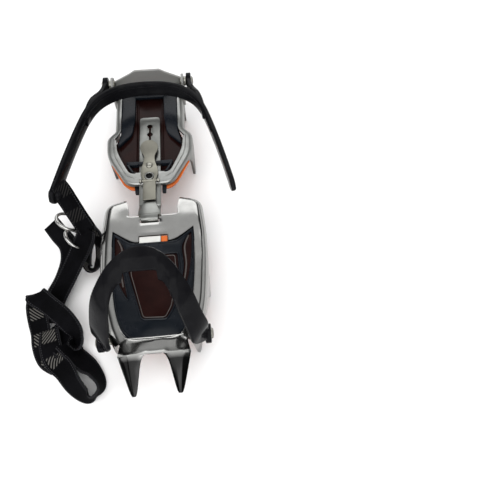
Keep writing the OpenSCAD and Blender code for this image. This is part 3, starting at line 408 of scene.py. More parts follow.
def spline_value(t, p, q, r, s):
    """A cubic from q to r whose slopes at the ends come from p and s."""
    square, cube = 2 * p - 5 * q + 4 * r - s, 3 * q - p - 3 * r + s
    return 0.5 * (2 * q + (r - p) * t + square * t * t + cube * t ** 3)


def curve_through(points, per, closed=False):
    """A smooth path through points of any size of tuple."""
    n = len(points)
    made = []
    for i in range(n if closed else n - 1):
        near = [(i + k) % n if closed else min(max(i + k, 0), n - 1) for k in (-1, 0, 1, 2)]
        a, b, c, d = (points[k] for k in near)
        for t in (k / per for k in range(per)):
            made.append(tuple(spline_value(t, *values) for values in zip(a, b, c, d)))
    if not closed:
        made.append(tuple(points[-1]))
    return made


def at_height(points, z):
    return [(x, y, z) for x, y in points]


def looked_up(x, table):
    """The value at x in a table of (place, value), with straight lines between."""
    if x <= table[0][0]:
        return table[0][1]
    for (a, u), (b, v) in zip(table, table[1:]):
        if x <= b:
            return u + (v - u) * (x - a) / max(b - a, 1e-9)
    return table[-1][1]


# Meshes
def piece(name, mesh, material, body, stands_for, sharp=38):
    """A finished mesh in millimetres becomes a piece of the object."""
    mesh.transform(Matrix.Scale(MM, 4))
    mesh.name = name
    if material:
        mesh.materials.clear()
        mesh.materials.append(material)
    mesh.shade_smooth()
    mesh.set_sharp_from_angle(angle=math.radians(sharp))
    obj = linked(name, mesh)
    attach(obj, body)
    if stands_for:
        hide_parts(stands_for)


def merged(mesh, reach, lift=0.0):
    """The mesh with doubles merged, its faces turned outwards, raised by lift."""
    bm = bmesh.new()
    bm.from_mesh(mesh)
    bmesh.ops.remove_doubles(bm, verts=bm.verts, dist=reach)
    bmesh.ops.recalc_face_normals(bm, faces=bm.faces)
    bmesh.ops.translate(bm, verts=bm.verts, vec=(0, 0, lift))
    bm.to_mesh(mesh)
    bm.free()
    mesh.update()
    return mesh


def mesh_of(points, faces):
    mesh = bpy.data.meshes.new("shape")
    mesh.from_pydata([tuple(p) for p in points], [], faces)
    return merged(mesh, 0.0005)


def joined(*meshes):
    bm = bmesh.new()
    for mesh in meshes:
        bm.from_mesh(mesh)
        bpy.data.meshes.remove(mesh)
    mesh = bpy.data.meshes.new("shape")
    bm.to_mesh(mesh)
    bm.free()
    return mesh


def plain_mesh(obj):
    """The mesh that an object's curve or modifiers give; the object itself goes."""
    made = bpy.data.meshes.new_from_object(obj.evaluated_get(bpy.context.evaluated_depsgraph_get()))
    bpy.data.objects.remove(obj)
    return made


def shaped(mesh, *modifiers):
    """The mesh after modifiers, each given as (type, settings)."""
    obj = linked("shaping", mesh)
    for kind, settings in modifiers:
        modifier = obj.modifiers.new(kind.lower(), kind)
        for key, value in settings.items():
            setattr(modifier, key, value)
    made = plain_mesh(obj)
    bpy.data.meshes.remove(mesh)
    return made


def plate(loops, low, high, edge, steps=2):
    """A flat plate with rounded edges from closed outlines; the later ones are holes."""
    curve = bpy.data.curves.new("outline", "CURVE")
    curve.dimensions = "2D"
    curve.fill_mode = "BOTH"
    curve.extrude = (high - low) / 2 - edge
    curve.bevel_depth = edge
    curve.bevel_resolution = steps
    curve.offset = -edge
    for loop in loops:
        spline = curve.splines.new("POLY")
        spline.points.add(len(loop) - 1)
        for point, (x, y) in zip(spline.points, loop):
            point.co = (x, y, 0, 1)
        spline.use_cyclic_u = True
    mesh = plain_mesh(linked("outline", curve))
    bpy.data.curves.remove(curve)
    return merged(mesh, 0.001, (low + high) / 2)


def plate_pair(points, low, high, edge, steps=2):
    return [plate([side], low, high, edge, steps) for side in both_sides(points)]


def loft(sections, closed=False):
    """A solid through closed sections that all have the same number of points."""
    n = len(sections[0])
    faces = []
    for i in range(len(sections) if closed else len(sections) - 1):
        j = (i + 1) % len(sections)
        for k in range(n):
            m = (k + 1) % n
            faces.append((i * n + k, i * n + m, j * n + m, j * n + k))
    if not closed:
        faces.append(tuple(range(n - 1, -1, -1)))
        faces.append(tuple((len(sections) - 1) * n + k for k in range(n)))
    return mesh_of([p for section in sections for p in section], faces)


def turned(profile, origin, axis, steps):
    """A body of revolution: profile is (radius, distance along the axis)."""
    axis = Vector(axis).normalized()
    side = axis.orthogonal().normalized()
    other = axis.cross(side)
    points, faces = [], []
    n = len(profile)
    for i in range(steps):
        a = 2 * math.pi * i / steps
        out = side * math.cos(a) + other * math.sin(a)
        points += [Vector(origin) + out * r + axis * h for r, h in profile]
        j = (i + 1) % steps
        faces += [(i * n + k, j * n + k, j * n + k + 1, i * n + k + 1) for k in range(n - 1)]
    mesh = mesh_of(points, faces)
    bm = bmesh.new()
    bm.from_mesh(mesh)
    rims = [e for e in bm.edges if e.is_boundary]
    if rims:
        bmesh.ops.holes_fill(bm, edges=rims, sides=0)
    bmesh.ops.dissolve_degenerate(bm, dist=0.0005, edges=bm.edges)
    bmesh.ops.recalc_face_normals(bm, faces=bm.faces)
    bm.to_mesh(mesh)
    bm.free()
    return mesh


def tube(path, radius, closed=True, steps=8):
    """A round bead along a path."""
    n = len(path)
    turns = [2 * math.pi * j / steps for j in range(steps)]
    sections = []
    for i, p in enumerate(path):
        before = path[i - 1] if closed else path[max(i - 1, 0)]
        after = path[(i + 1) % n] if closed else path[min(i + 1, n - 1)]
        t = (Vector(after) - Vector(before)).normalized()
        side = t.cross(Vector((0, 0, 1))).normalized()
        up = side.cross(t)
        sections.append([Vector(p) + (side * math.cos(a) + up * math.sin(a)) * radius for a in turns])
    return loft(sections, closed)


RIM_STEPS = (-90, -45, 0, 45, 90)


def band_mesh(stations, thick, rim):
    """A band between two edges with rounded rims: a station is (rear edge, front edge)."""
    middles = [(Vector(a) + Vector(b)) / 2 for a, b in stations]
    sections = []
    for i, (rear, front) in enumerate(stations):
        t = middles[min(i + 1, len(middles) - 1)] - middles[max(i - 1, 0)]
        across = Vector(front) - Vector(rear)
        half = across.length / 2
        w = across.normalized()
        n = t.cross(w).normalized()
        r = min(rim, half * 0.9)
        section = []
        for end in (-1, 1):
            for a in (math.radians(step) * end for step in RIM_STEPS):
                reach = half - r + r * math.cos(a)
                section.append(middles[i] + w * end * reach + n * (thick / 2) * math.sin(a))
        sections.append(section)
    return loft(sections)


# Formed sheet: a grid on the outer skin, rounded by subdivision and given its thickness
BEND_STEPS = 4
RIDGE_SHARP = 0.5
POINT_SHARP = 0.75


def formed_sheet(rows, cell, firm, ridge=None):
    """cell says which squares are steel, firm how sharp a grid point stays, ridge which row is a fold."""
    columns = len(rows[0])
    mesh = bpy.data.meshes.new("sheet")
    faces = [(i * columns + j, i * columns + j + 1, (i + 1) * columns + j + 1, (i + 1) * columns + j)
             for i in range(len(rows) - 1) for j in range(columns - 1) if cell(i, j)]
    mesh.from_pydata([p for row in rows for p in row], [], faces)
    sharp = mesh.attributes.new("crease_vert", "FLOAT", "POINT")
    for i in range(len(rows)):
        for j in range(columns):
            sharp.data[i * columns + j].value = firm(i, j)
    fold = mesh.attributes.new("crease_edge", "FLOAT", "EDGE")
    for edge in mesh.edges:
        if all(v // columns == ridge for v in edge.vertices):
            fold.data[edge.index].value = RIDGE_SHARP
    bm = bmesh.new()
    bm.from_mesh(mesh)
    bmesh.ops.delete(bm, geom=[v for v in bm.verts if not v.link_faces], context="VERTS")
    bmesh.ops.recalc_face_normals(bm, faces=bm.faces)
    if sum(f.normal.z * f.calc_area() for f in bm.faces) < 0:
        bmesh.ops.reverse_faces(bm, faces=bm.faces)
    bm.to_mesh(mesh)
    bm.free()
    edges = {"width": 0.45, "segments": 2, "limit_method": "ANGLE", "angle_limit": math.radians(50)}
    return shaped(mesh,
                  ("SUBSURF", {"levels": 2, "render_levels": 2}),
                  ("SOLIDIFY", {"thickness": SHEET, "offset": -1.0, "use_even_offset": False}),
                  ("BEVEL", edges))


def rail_skin(width, radius, low):
    """A rail's outer skin as (distance in from the wall, height): flat top, bend, wall down to low."""
    skin = [(width, PLATE_TOP)]
    for a in (math.radians(90 + 90 * k / BEND_STEPS) for k in range(BEND_STEPS + 1)):
        skin.append((radius + radius * math.cos(a), PLATE_TOP - radius + radius * math.sin(a)))
    return skin + [(0.0, low)]


def set_in(pose, spot):
    """The place a distance in from an edge's pose (x, y, heading in degrees), at a height."""
    a = math.radians(pose[2])
    return (pose[0] - math.sin(a) * spot[0], pose[1] + math.cos(a) * spot[0], spot[1])


def pose_after(pose, segment):
    """The pose after a straight (length,) or an arc (radius, turn)."""
    x, y, heading = pose
    a = math.radians(heading)
    if len(segment) == 1:
        return (x + segment[0] * math.cos(a), y + segment[0] * math.sin(a), heading)
    radius, turn = segment
    side = math.copysign(radius, turn)
    b = math.radians(heading + turn)
    across = side * (math.sin(b) - math.sin(a))
    along = side * (math.cos(a) - math.cos(b))
    return (x + across, y + along, heading + turn)


def chain_poses(start, chain):
    """Poses along a chain of straights and arcs; an arc has one for about each 12 degrees."""
    made = [start]
    for segment in chain:
        base = made[-1]
        if len(segment) == 1:
            made.append(pose_after(base, segment))
            continue
        n = math.ceil(abs(segment[1]) / 12)
        made += [pose_after(base, (segment[0], segment[1] * i / n)) for i in range(1, n + 1)]
    return made


TIP_W = 3.0
POINT_SWELL = 0.18
POINT_SHOULDER = WALL_BASE - 5


def foot_table(points):
    """Height of a wall's foot along y, with a point for each (front, tip, rear)."""
    made = []
    for front, tip, rear in points:
        ahead = front + (tip - front) * POINT_SWELL
        behind = rear - (rear - tip) * POINT_SWELL
        made += [(front, WALL_BASE), (ahead, POINT_SHOULDER), (tip - TIP_W / 2, 0.0)]
        made += [(tip + TIP_W / 2, 0.0), (behind, POINT_SHOULDER), (rear, WALL_BASE)]
    return made


# Toe frame: two arcs along each side, a front wall with two points, arms behind the bridge
TOE_HALF, TOE_MID_Y, TOE_SIDE_R = 47.5, -38.0, 400.0
TAPER_Y, TAPER_R = -89.0, 110.0
TOE_WALL_Y, TOE_BEND_Y, TOE_BEND_R = -126.0, -133.0, 7.0
TOE_REAR_Y = 3.5
TOE_ARM = [(12.0, 69.0), (11.5,)]
ARM_RISE = 5.0
TOE_POINTS = [(TOE_WALL_Y, TOE_WALL_Y + 4, TOE_WALL_Y + 18), (-84, -70, -58), (-23, -9, 1)]
RAIL_W = 11.0
TOE_RAIL_W = [(TOE_WALL_Y, 13.6), (TOE_WALL_Y + 4, 12.1), (TOE_WALL_Y + 9, 11.3), (TOE_WALL_Y + 18, RAIL_W)]
BRIDGE_Y = [-31.5, -25.3, -12.2, -7.8, -4.5]
WINDOW_FRONT_Y, WINDOW_CORNER, NOTCH_CORNER = -121.0, (20.0, -31.0), (21.7, -4.5)
TAG_SLOT_HALF, BAR_SLOT_HALF = 13.0, 9.0
TOE_SIDE_C = (TOE_HALF - TOE_SIDE_R, TOE_MID_Y)
TAPER_A = math.asin((TAPER_Y - TOE_MID_Y) / TOE_SIDE_R)
TAPER_C = (TOE_SIDE_C[0] + (TOE_SIDE_R - TAPER_R) * math.cos(TAPER_A),
           TOE_SIDE_C[1] + (TOE_SIDE_R - TAPER_R) * math.sin(TAPER_A))

# Rows of the frame's grid where the bridge starts and where the notch behind it starts
EAR = 20
NOTCH = EAR + len(BRIDGE_Y) - 1

# Front points: rows are (share of the length, inner edge, outer edge, how far the sheet is folded)
POINT_LEN, POINT_DROP = 34.0, math.radians(32)
POINT_COLUMNS, POINT_CROWN = (0, 0.3, 0.62, 1), (-0.4, 0.5, 0.6, -2.2)
FRONT_POINT = [(1.0, 17.2, 19.6, 0.2), (0.96, 16.2, 20.8, 0.4), (0.8, 15.0, 22.4, 0.8),
               (0.5, 13.2, 25.0, 1.1), (0.25, 11.6, 27.1, 1.3), (0.12, 10.2, 28.2, 1.3),
               (0.04, 8.4, 28.9, 1.2), (0, 7.0, 29.25, 1.0)]
FRONT_ROWS = len(FRONT_POINT)

# How sharp subdivision leaves the front tips, the bridge's slots and the window's rear corners
FRONT_SHARP, SLOT_SHARP, EAR_SHARP = 0.35, 0.9, 0.6
RIM_BEAD_R, GROOVE_BEAD_R = 0.5, 0.55


def about_toe(points):
    return [(TOE_X + p[0], *p[1:]) for p in points]


def toe_pose(y):
    """Place and heading of the toe frame's right edge."""
    centre, radius = (TAPER_C, TAPER_R) if y < TAPER_Y else (TOE_SIDE_C, TOE_SIDE_R)
    a = math.asin((y - centre[1]) / radius)
    return (centre[0] + radius * math.cos(a), y, 90 + math.degrees(a))


def toe_rail():
    """Poses along the right edge from the front wall to the arm's end, and the wall's foot at each."""
    feet = foot_table(TOE_POINTS)
    ys = [y for y, _ in feet]
    rows_y = ys[:6] + [TOE_WALL_Y + 24, TOE_WALL_Y + 30, TAPER_Y] + ys[6:12] + [-48, -38, -30]
    rows_y += ys[12:14] + [-18.0] + ys[14:] + [TOE_REAR_Y]
    arm = chain_poses(toe_pose(TOE_REAR_Y), TOE_ARM)[1:]
    lows = [looked_up(y, feet) for y in rows_y]
    lows += [WALL_BASE + ARM_RISE * (i + 1) / len(arm) for i in range(len(arm))]
    return [toe_pose(y) for y in rows_y] + arm, lows


def point_row(share, x_in, x_out, fold):
    """A row across the right front point."""
    run = POINT_LEN * share
    y = TOE_BEND_Y - run * math.cos(POINT_DROP)
    z = PLATE_TOP - run * math.sin(POINT_DROP)
    xs = [x_in + (x_out - x_in) * t for t in POINT_COLUMNS]
    row = [(0, y, z)] + [(x, y, z + crown * fold) for x, crown in zip(xs, POINT_CROWN)]
    return row + [(xs[-1] + 1 + k, y, z) for k in range(BEND_STEPS + 1)]


def bridge_corner(i, last):
    """Inner corner of the rail: at the window, along the bridge, then along the notch."""
    if i <= NOTCH:
        return blended(WINDOW_CORNER, NOTCH_CORNER, max(0, i - EAR) / (NOTCH - EAR))
    t = (i - NOTCH) / (last - NOTCH)
    return (NOTCH_CORNER[0] + 0.5 * t, NOTCH_CORNER[1] + 6 * t)


def toe_rows():
    """Rows of the toe frame's grid from the front tips back, and the wall's foot beside the rail's rows."""
    poses, lows = toe_rail()

    def half_row(i, side):
        skin = rail_skin(looked_up(poses[i][1], TOE_RAIL_W), TOE_BEND_R, lows[i])
        rail = [set_in(poses[i], spot) for spot in skin]
        if i == 0:
            return [(x, WINDOW_FRONT_Y, PLATE_TOP) for x in (0.0, 7.75, 15.0)] + rail
        y = BRIDGE_Y[max(0, min(NOTCH, i) - EAR)]
        bar_x = -side * TOE_X
        ends = (0.0, TAG_SLOT_HALF) if i <= EAR + 1 else (bar_x, bar_x + BAR_SLOT_HALF)
        middle = [(x, y, PLATE_TOP) for x in ends] + [(*bridge_corner(i, len(poses) - 1), PLATE_TOP)]
        return middle + rail

    def whole(right, left):
        return about_toe(flipped(reversed(left[1:]))) + about_toe(right)

    fronts = [point_row(*row) for row in FRONT_POINT]
    rows = [whole(row, row) for row in fronts]
    return rows + [whole(half_row(i, 1), half_row(i, -1)) for i in range(len(poses))], lows


def window_rim():
    """Bead along the rails and the front of the window."""
    ys = [-34 - 6 * k for k in range(12)] + [TOE_WALL_Y + step for step in (18, 13, 9, 6, 4, 2, 0)]
    side = [set_in(toe_pose(y), (looked_up(y, TOE_RAIL_W) + 0.1, PLATE_TOP - 0.25)) for y in ys]
    return tube(curve_through(about_toe(side) + about_toe(mirrored(side)), 2), RIM_BEAD_R, False)


def toe_frame():
    rows, lows = toe_rows()
    middle = len(rows[0]) // 2

    def cell(i, j):
        c = middle - 1 - j if j < middle else j - middle
        k = i - FRONT_ROWS
        if k < -1:
            return 1 <= c <= 3
        if k == -1:
            return c <= 3
        if k < EAR:
            return c >= 3
        if k < NOTCH:
            return c > 0 or (k - EAR) % 2 == 1
        return c >= 2

    def firm(i, j):
        c = abs(j - middle)
        k = i - FRONT_ROWS
        if i == 0:
            return FRONT_SHARP
        if k >= 0 and c == middle and lows[k] < 1:
            return POINT_SHARP
        if EAR <= k <= NOTCH and c <= 1:
            return SLOT_SHARP
        return EAR_SHARP if k == EAR and c == 3 else 0.0

    return joined(formed_sheet(rows, cell, firm, FRONT_ROWS - 1), window_rim())


# Heel frame: cross-member, straight arms, shoulders with points, waist, sides with points
HEEL_FRONT_Y, HEEL_FRONT_HALF, HEEL_SHOULDER, HEEL_HALF, HEEL_REAR_Y = 31.0, 13.0, 42.5, 34.5, 160.0
SHOULDER_Y, HEEL_ARM_A, WAIST_A = 66.0, 61.0, 43.0
CORNER_R, SHOULDER_R, WAIST_R, FLARE_R = 14.0, 39.0, 10.5, 5.0
HEEL_POINTS = [(SHOULDER_Y, SHOULDER_Y + 5, SHOULDER_Y + 20),
               (HEEL_REAR_Y - 28, HEEL_REAR_Y - 14, HEEL_REAR_Y - 4)]
ARM_CORNER_RUN = 3.0
HEEL_BEND_R = [(HEEL_FRONT_Y, 2.2), (SHOULDER_Y - 8, 2.2), (SHOULDER_Y + 8, 4.5)]
GROOVE_FROM_X = 9

# Width of the heel frame's top at steps behind its front and behind its shoulder
HEEL_FRONT_W = [(0, 13.4), (2, 13.0), (7.2, 11.0), (9.8, 7.9), (18.4, 8.6)]
SHOULDER_W = [(-5.5, 9.6), (0, 10.2), (20, 9.6)]


def sine(degrees):
    return math.sin(math.radians(degrees))


def cosine(degrees):
    return math.cos(math.radians(degrees))


HEEL_ARM_RUN = (HEEL_SHOULDER - SHOULDER_R * (1 - sine(HEEL_ARM_A)) - HEEL_FRONT_HALF
                - CORNER_R * sine(HEEL_ARM_A)) / cosine(HEEL_ARM_A)
STRAIGHT_Y = (HEEL_FRONT_Y + CORNER_R * (1 - cosine(HEEL_ARM_A)) + HEEL_ARM_RUN * sine(HEEL_ARM_A)
              + SHOULDER_R * cosine(HEEL_ARM_A))
WAIST_RUN = (HEEL_SHOULDER - HEEL_HALF - (WAIST_R + FLARE_R) * (1 - cosine(WAIST_A))) / sine(WAIST_A)


def shoulder_pose(y):
    """Place and heading of the heel frame's right edge at the shoulder."""
    a = math.asin(min(0.0, y - STRAIGHT_Y) / SHOULDER_R)
    return (HEEL_SHOULDER - SHOULDER_R * (1 - math.cos(a)), y, 90 + math.degrees(a))


def heel_rail(feet):
    """Poses along the heel frame's right edge, and the y where the waist and the straight side start."""
    ys = [y for y, _ in feet]
    arm = [(HEEL_FRONT_HALF / 2,)] * 2 + [(CORNER_R, HEEL_ARM_A), (ARM_CORNER_RUN,)]
    arm += [((HEEL_ARM_RUN - ARM_CORNER_RUN) / 3,)] * 3
    poses = chain_poses((0.0, HEEL_FRONT_Y, 0.0), arm) + [shoulder_pose(y) for y in ys[:6]]
    waist_y = pose_after(poses[-1], (WAIST_R, WAIST_A))[1]
    poses += chain_poses(poses[-1], [(WAIST_R, WAIST_A), (WAIST_RUN,), (FLARE_R, -WAIST_A)])[1:]
    side_y = poses[-1][1]
    rear = [((ys[6] - side_y) / 2,)] * 2 + [(b - a,) for a, b in zip(ys[6:], ys[7:] + [HEEL_REAR_Y])]
    return poses + chain_poses(poses[-1], rear)[1:], waist_y, side_y


def heel_frame():
    feet = foot_table(HEEL_POINTS)
    poses, waist_y, side_y = heel_rail(feet)
    lows = [(HEEL_FRONT_Y, PLATE_TOP - 4.5), (SHOULDER_Y - 5, PLATE_TOP - 5)] + feet
    lows.append((HEEL_REAR_Y, WALL_BASE))
    widths = [(HEEL_FRONT_Y + step, width) for step, width in HEEL_FRONT_W]
    widths += [(SHOULDER_Y + step, width) for step, width in SHOULDER_W]
    widths += [(waist_y, 7.5), (side_y, 6.0)]
    right, groove = [], []
    for pose in poses:
        width, bend, low = (looked_up(pose[1], table) for table in (widths, HEEL_BEND_R, lows))
        right.append([set_in(pose, spot) for spot in rail_skin(width, bend, low)])
        if GROOVE_FROM_X < pose[0] and pose[1] < waist_y:
            groove.append(set_in(pose, (0.5 * bend + 0.5 * width, PLATE_TOP - 0.1)))
    rows = [flipped(row) for row in reversed(right[1:])] + right
    foot = len(rows[0]) - 1

    def firm(i, j):
        return POINT_SHARP if j == foot and rows[i][j][2] < 1 else 0.0

    beads = [tube(curve_through(line, 3), GROOVE_BEAD_R, False) for line in (groove, flipped(groove))]
    return joined(formed_sheet(rows, lambda i, j: True, firm), *beads)


piece("toe_frame_sheet", toe_frame(), POLISHED, "toe", "toe_frame", 60)
piece("heel_frame_sheet", heel_frame(), SHEET_STEEL, "heel", "heel_frame", 60)


# Toe bail: its two edges from the right eye to the middle, measured from the rivets
RIVET_Y, RIVET_Z = -118.0, 34.0
EYE_MID, EYE_R, EYE_BORE, BAIL_T = 43.47, 8.0, 2.6, 5.0
BAIL_H, BAIL_REACH = 74.0, 46.0
BAIL_REAR = [(EYE_MID, 5.5, 2), (EYE_MID - 0.4, 2.5, 13), (EYE_MID + 0.5, 2, 26), (EYE_MID - 2.5, 4.5, 45),
             (36, 13, BAIL_H - 12), (30, 22, BAIL_H - 4.5), (25, 30, BAIL_H - 1.5),
             (18, BAIL_REACH - 8, BAIL_H - 0.5), (9, BAIL_REACH - 2, BAIL_H), (0, BAIL_REACH, BAIL_H)]
BAIL_FRONT = [(EYE_MID, -5.5, 2), (33, -13, 16), (31, -12, 29), (27.5, -5.5, 44), (24.5, 0, BAIL_H - 13),
              (21, 9, BAIL_H - 5), (18, 15, BAIL_H - 5), (15, 18.5, BAIL_H - 5), (9, 20, BAIL_H - 4),
              (0, 20, BAIL_H - 3.5)]
STRAP_NOTCH_HALF, STRAP_NOTCH_LEN = 12.5, 7.0
TOE_BAND_T, TOE_BAND_RIM = BAIL_T - 0.6, 1.6


def eye_disc(x, y, z):
    """A bail's eye, from x outwards along X."""
    edge, corner = 0.8, 0.25
    profile = [(EYE_BORE, 0), (EYE_R - edge, 0), (EYE_R - corner, corner), (EYE_R, edge)]
    profile += [(r, BAIL_T - h) for r, h in reversed(profile)] + [(EYE_BORE, 0)]
    return turned(profile, (x, y, z), (1, 0, 0), 48)


def toe_bail():
    rivet = Vector((TOE_X, RIVET_Y, RIVET_Z))
    stations = []
    for rear, (x, y, z) in zip(curve_through(BAIL_REAR, 6), curve_through(BAIL_FRONT, 6)):
        notch = STRAP_NOTCH_LEN if abs(x) < STRAP_NOTCH_HALF else 0
        stations.append((rear, (x, y + notch, z)))
    stations += [flipped(station) for station in reversed(stations[:-1])]
    edges = [(Vector(a) + rivet, Vector(b) + rivet) for a, b in stations]
    eyes = [eye_disc(TOE_X + x - BAIL_T / 2, RIVET_Y, RIVET_Z) for x in (EYE_MID, -EYE_MID)]
    return joined(band_mesh(edges, TOE_BAND_T, TOE_BAND_RIM), *eyes)


piece("toe_bail_band", toe_bail(), BAIL, "toe_bail", "toe_bail", 40)


# Heel bail: the band, its raised line, the struts and the eyes, all raised about the rivets
HEEL_RIVET_Y, HEEL_RIVET_Z, HEEL_RISE = 151.0, 52.0, 4.0
HEEL_EYE_X = 39.8
BAND_LOW, BAND_H, BAND_T, BAND_RIM = 54.0, 16.0, 4.0, 1.5
BAIL_TIP = (76.0, 3.0)
BAIL_PATH = [BAIL_TIP, (69.5, 38), (61.5, 74), (54.5, 98), (45.5, 114), (32, 124.5), (16.5, 129.6), (0, 131)]
TIP_TURNS = (1.45, 1.25, 1.0, 0.75, 0.5, 0.25)
LINE_START, LINE_SHARE, LINE_SETBACK, LINE_TOP, LINE_LOW = 12, 0.966, 2.1, 4.2, 2.8
LINE_T, LINE_RIM = 1.4, 0.6

# Struts: x, y, top and foot
STRUT_T = BAND_T + 0.6
STRUT_PATH = [(56.5, 89, BAND_LOW + 14, BAND_LOW + 2), (51.8, 113, BAND_LOW + 14, BAND_LOW + 1),
              (45.3, 133, 61, 50), (42.3, 146, 59, 45)]


def raised(p):
    dy, dz = p[1] - HEEL_RIVET_Y, p[2] - HEEL_RIVET_Z
    c, s = cosine(HEEL_RISE), sine(HEEL_RISE)
    return (p[0], HEEL_RIVET_Y + dy * c + dz * s, HEEL_RIVET_Z - dy * s + dz * c)


def raised_band(stations, thick, rim):
    """A raised band from stations of (x, y, top, foot)."""
    edges = [(raised((x, y, top)), raised((x, y, foot))) for x, y, top, foot in stations]
    return band_mesh(edges, thick, rim)


def tip_to_tip(half):
    return half + mirrored(half[:-1])


def heel_bail():
    middle = BAND_LOW + BAND_H / 2
    half = curve_through(BAIL_PATH, 7)
    out = (Vector(half[0]) - Vector(half[1])).normalized()
    stations = []
    for a in TIP_TURNS:
        reach, h = BAND_H / 2 * math.sin(a), BAND_H / 2 * math.cos(a)
        stations.append((BAIL_TIP[0] + out.x * reach, BAIL_TIP[1] + out.y * reach, h))
    stations += [(x, y, BAND_H / 2) for x, y in half]
    band = [(x, y, middle + h, middle - h) for x, y, h in tip_to_tip(stations)]
    line = [(x * LINE_SHARE, y - LINE_SETBACK, middle + LINE_TOP, middle + LINE_LOW)
            for x, y in tip_to_tip(half[LINE_START:])]
    parts = [raised_band(band, BAND_T, BAND_RIM), raised_band(line, LINE_T, LINE_RIM)]
    strut = curve_through(STRUT_PATH, 5)
    for path, eye_x in ((strut, HEEL_EYE_X), (flipped(strut), -HEEL_EYE_X - BAIL_T)):
        parts.append(raised_band(path, STRUT_T, BAND_RIM))
        parts.append(eye_disc(eye_x, HEEL_RIVET_Y, HEEL_RIVET_Z))
    return joined(*parts)


piece("heel_bail_band", heel_bail(), BAIL, "heel_bail", "heel_bail", 40)


# Rivets with domed heads
SHANK_R, HEAD_R, HEAD_EDGE, HEAD_RISE = 2.5, 4.5, 0.5, 1.3
HEAD_TURNS = (0, 0.4, 0.8, 1.15, 1.4)
ON_AXIS = 0.01
TOE_SHANK_X, HEEL_SHANK_X = (31.83, 46.27), (34.5, 45.1)


def dome(base, way):
    """A head's profile from its rim to the axis."""
    top = [(HEAD_R * math.cos(a), HEAD_EDGE + HEAD_RISE * math.sin(a)) for a in HEAD_TURNS]
    top.append((ON_AXIS, HEAD_EDGE + HEAD_RISE))
    return [(r, base + way * h) for r, h in top]


def rivet_pair(x_in, x_out, y, z, middle):
    """Two rivets along X, one each side: a shank between two places with a head beyond each."""
    shank = [(HEAD_R, x_in), (SHANK_R, x_in), (SHANK_R, x_out), (HEAD_R, x_out)]
    profile = dome(x_in, -1)[::-1] + shank + dome(x_out, 1)
    return joined(*(turned(profile, (middle, y, z), (way, 0, 0), 32) for way in (1, -1)))


piece("toe_bail_rivet_pair", rivet_pair(*TOE_SHANK_X, RIVET_Y, RIVET_Z, TOE_X), SATIN,
      "toe", "toe_bail_rivets")
piece("heel_bail_rivet_pair", rivet_pair(*HEEL_SHANK_X, HEEL_RIVET_Y, HEEL_RIVET_Z, 0.0), SATIN,
      "heel", "heel_bail_rivets")


# Link bar and lever
BAR_HALF, BAR_LOW, BAR_T, BAR_EDGE, LAND_T = 10.15, 37.5, 2.0, 0.18, 1.6
BAR_FRONT_Y, BAR_REAR_Y, BAR_CORNER, HOOK_HALF = 8.0, 115.5, 4, 8
HOLES, HOLE_R, HOLE_PITCH, FIRST_HOLE_Y, SLIT_HALF = 7, 2.7, 10.5, 103.5, 0.9
PIN_Y, EYELET_Y, LEVER_LOW, LEVER_T = 51.0, 38.3, 42.4, 1.6
LEVER_TOP = LEVER_LOW + LEVER_T
EYELET_SEAT_R, PIN_SEAT_R = 3.58, 2.48
PIVOT_AT, PIVOT_LEN, PIVOT_BORE = (-7.0, 33.2, 43.6), 14, 0.78

# Joggle and hook of the bar as y and height, and the raised land ahead of the lever with its half width
JOGGLE = [(9, 38.5), (7, 38.7), (5, 40), (0, 42.5), (-2.2, 43.4), (-5, 43.6)]
HOOK = [(-5.2, 43.6), (-8, 43.6), (-9.4, 43.2), (-10, 42.2),
        (-10, 37), (-10.3, 35.8), (-11.6, 35), (-20.5, 35)]
LAND = [(10.3, 41.4, 6.0), (8.3, 42.0, 6.2), (5.5, 42.7, 6.9),
        (2, 43.2, 8.2), (-1.5, 43.75, 9.4), (-4, 43.9, 9.6)]


def hole_chain():
    """Outline of the row of holes joined by a slit."""
    gap = math.degrees(math.asin(SLIT_HALF / HOLE_R))
    right = []
    for i in range(HOLES):
        start = 90 if i == 0 else 90 - gap
        end = -90 if i == HOLES - 1 else gap - 90
        right += arc((0, FIRST_HOLE_Y - i * HOLE_PITCH), HOLE_R, start, end, 10)
    return right + mirrored(right)[1:-1]


def bar_strip(line, thick):
    return band_mesh([((w, y, z), (-w, y, z)) for y, z, w in line], thick, 0.6)


def link_bar():
    front = [(-BAR_HALF, BAR_FRONT_Y), (BAR_HALF, BAR_FRONT_Y)]
    rear = [(BAR_HALF, BAR_REAR_Y), (-BAR_HALF, BAR_REAR_Y)]
    outline = rounded(front + rear, [0, 0, BAR_CORNER, BAR_CORNER])
    flat = plate([outline, hole_chain()], BAR_LOW, BAR_LOW + BAR_T, BAR_EDGE)
    bends = [(y, z, BAR_HALF) for y, z in JOGGLE] + [(y, z, HOOK_HALF) for y, z in HOOK]
    return joined(flat, bar_strip(bends, BAR_T), bar_strip(LAND, LAND_T))


LEVER_SIDE = [(5.2, 11.5), (6, 12.4), (6, 31), (6.1, 34), (8, 39),
              (8, 46), (6, 54), (5.25, 59), (5.5, 63), (7.4, 67)]
TAB_Y, TAB_R, TAB_CURL, TAB_CURL_Y, TAB_CURL_LEN = 72.3, 8.7, 1.5, 64, 17


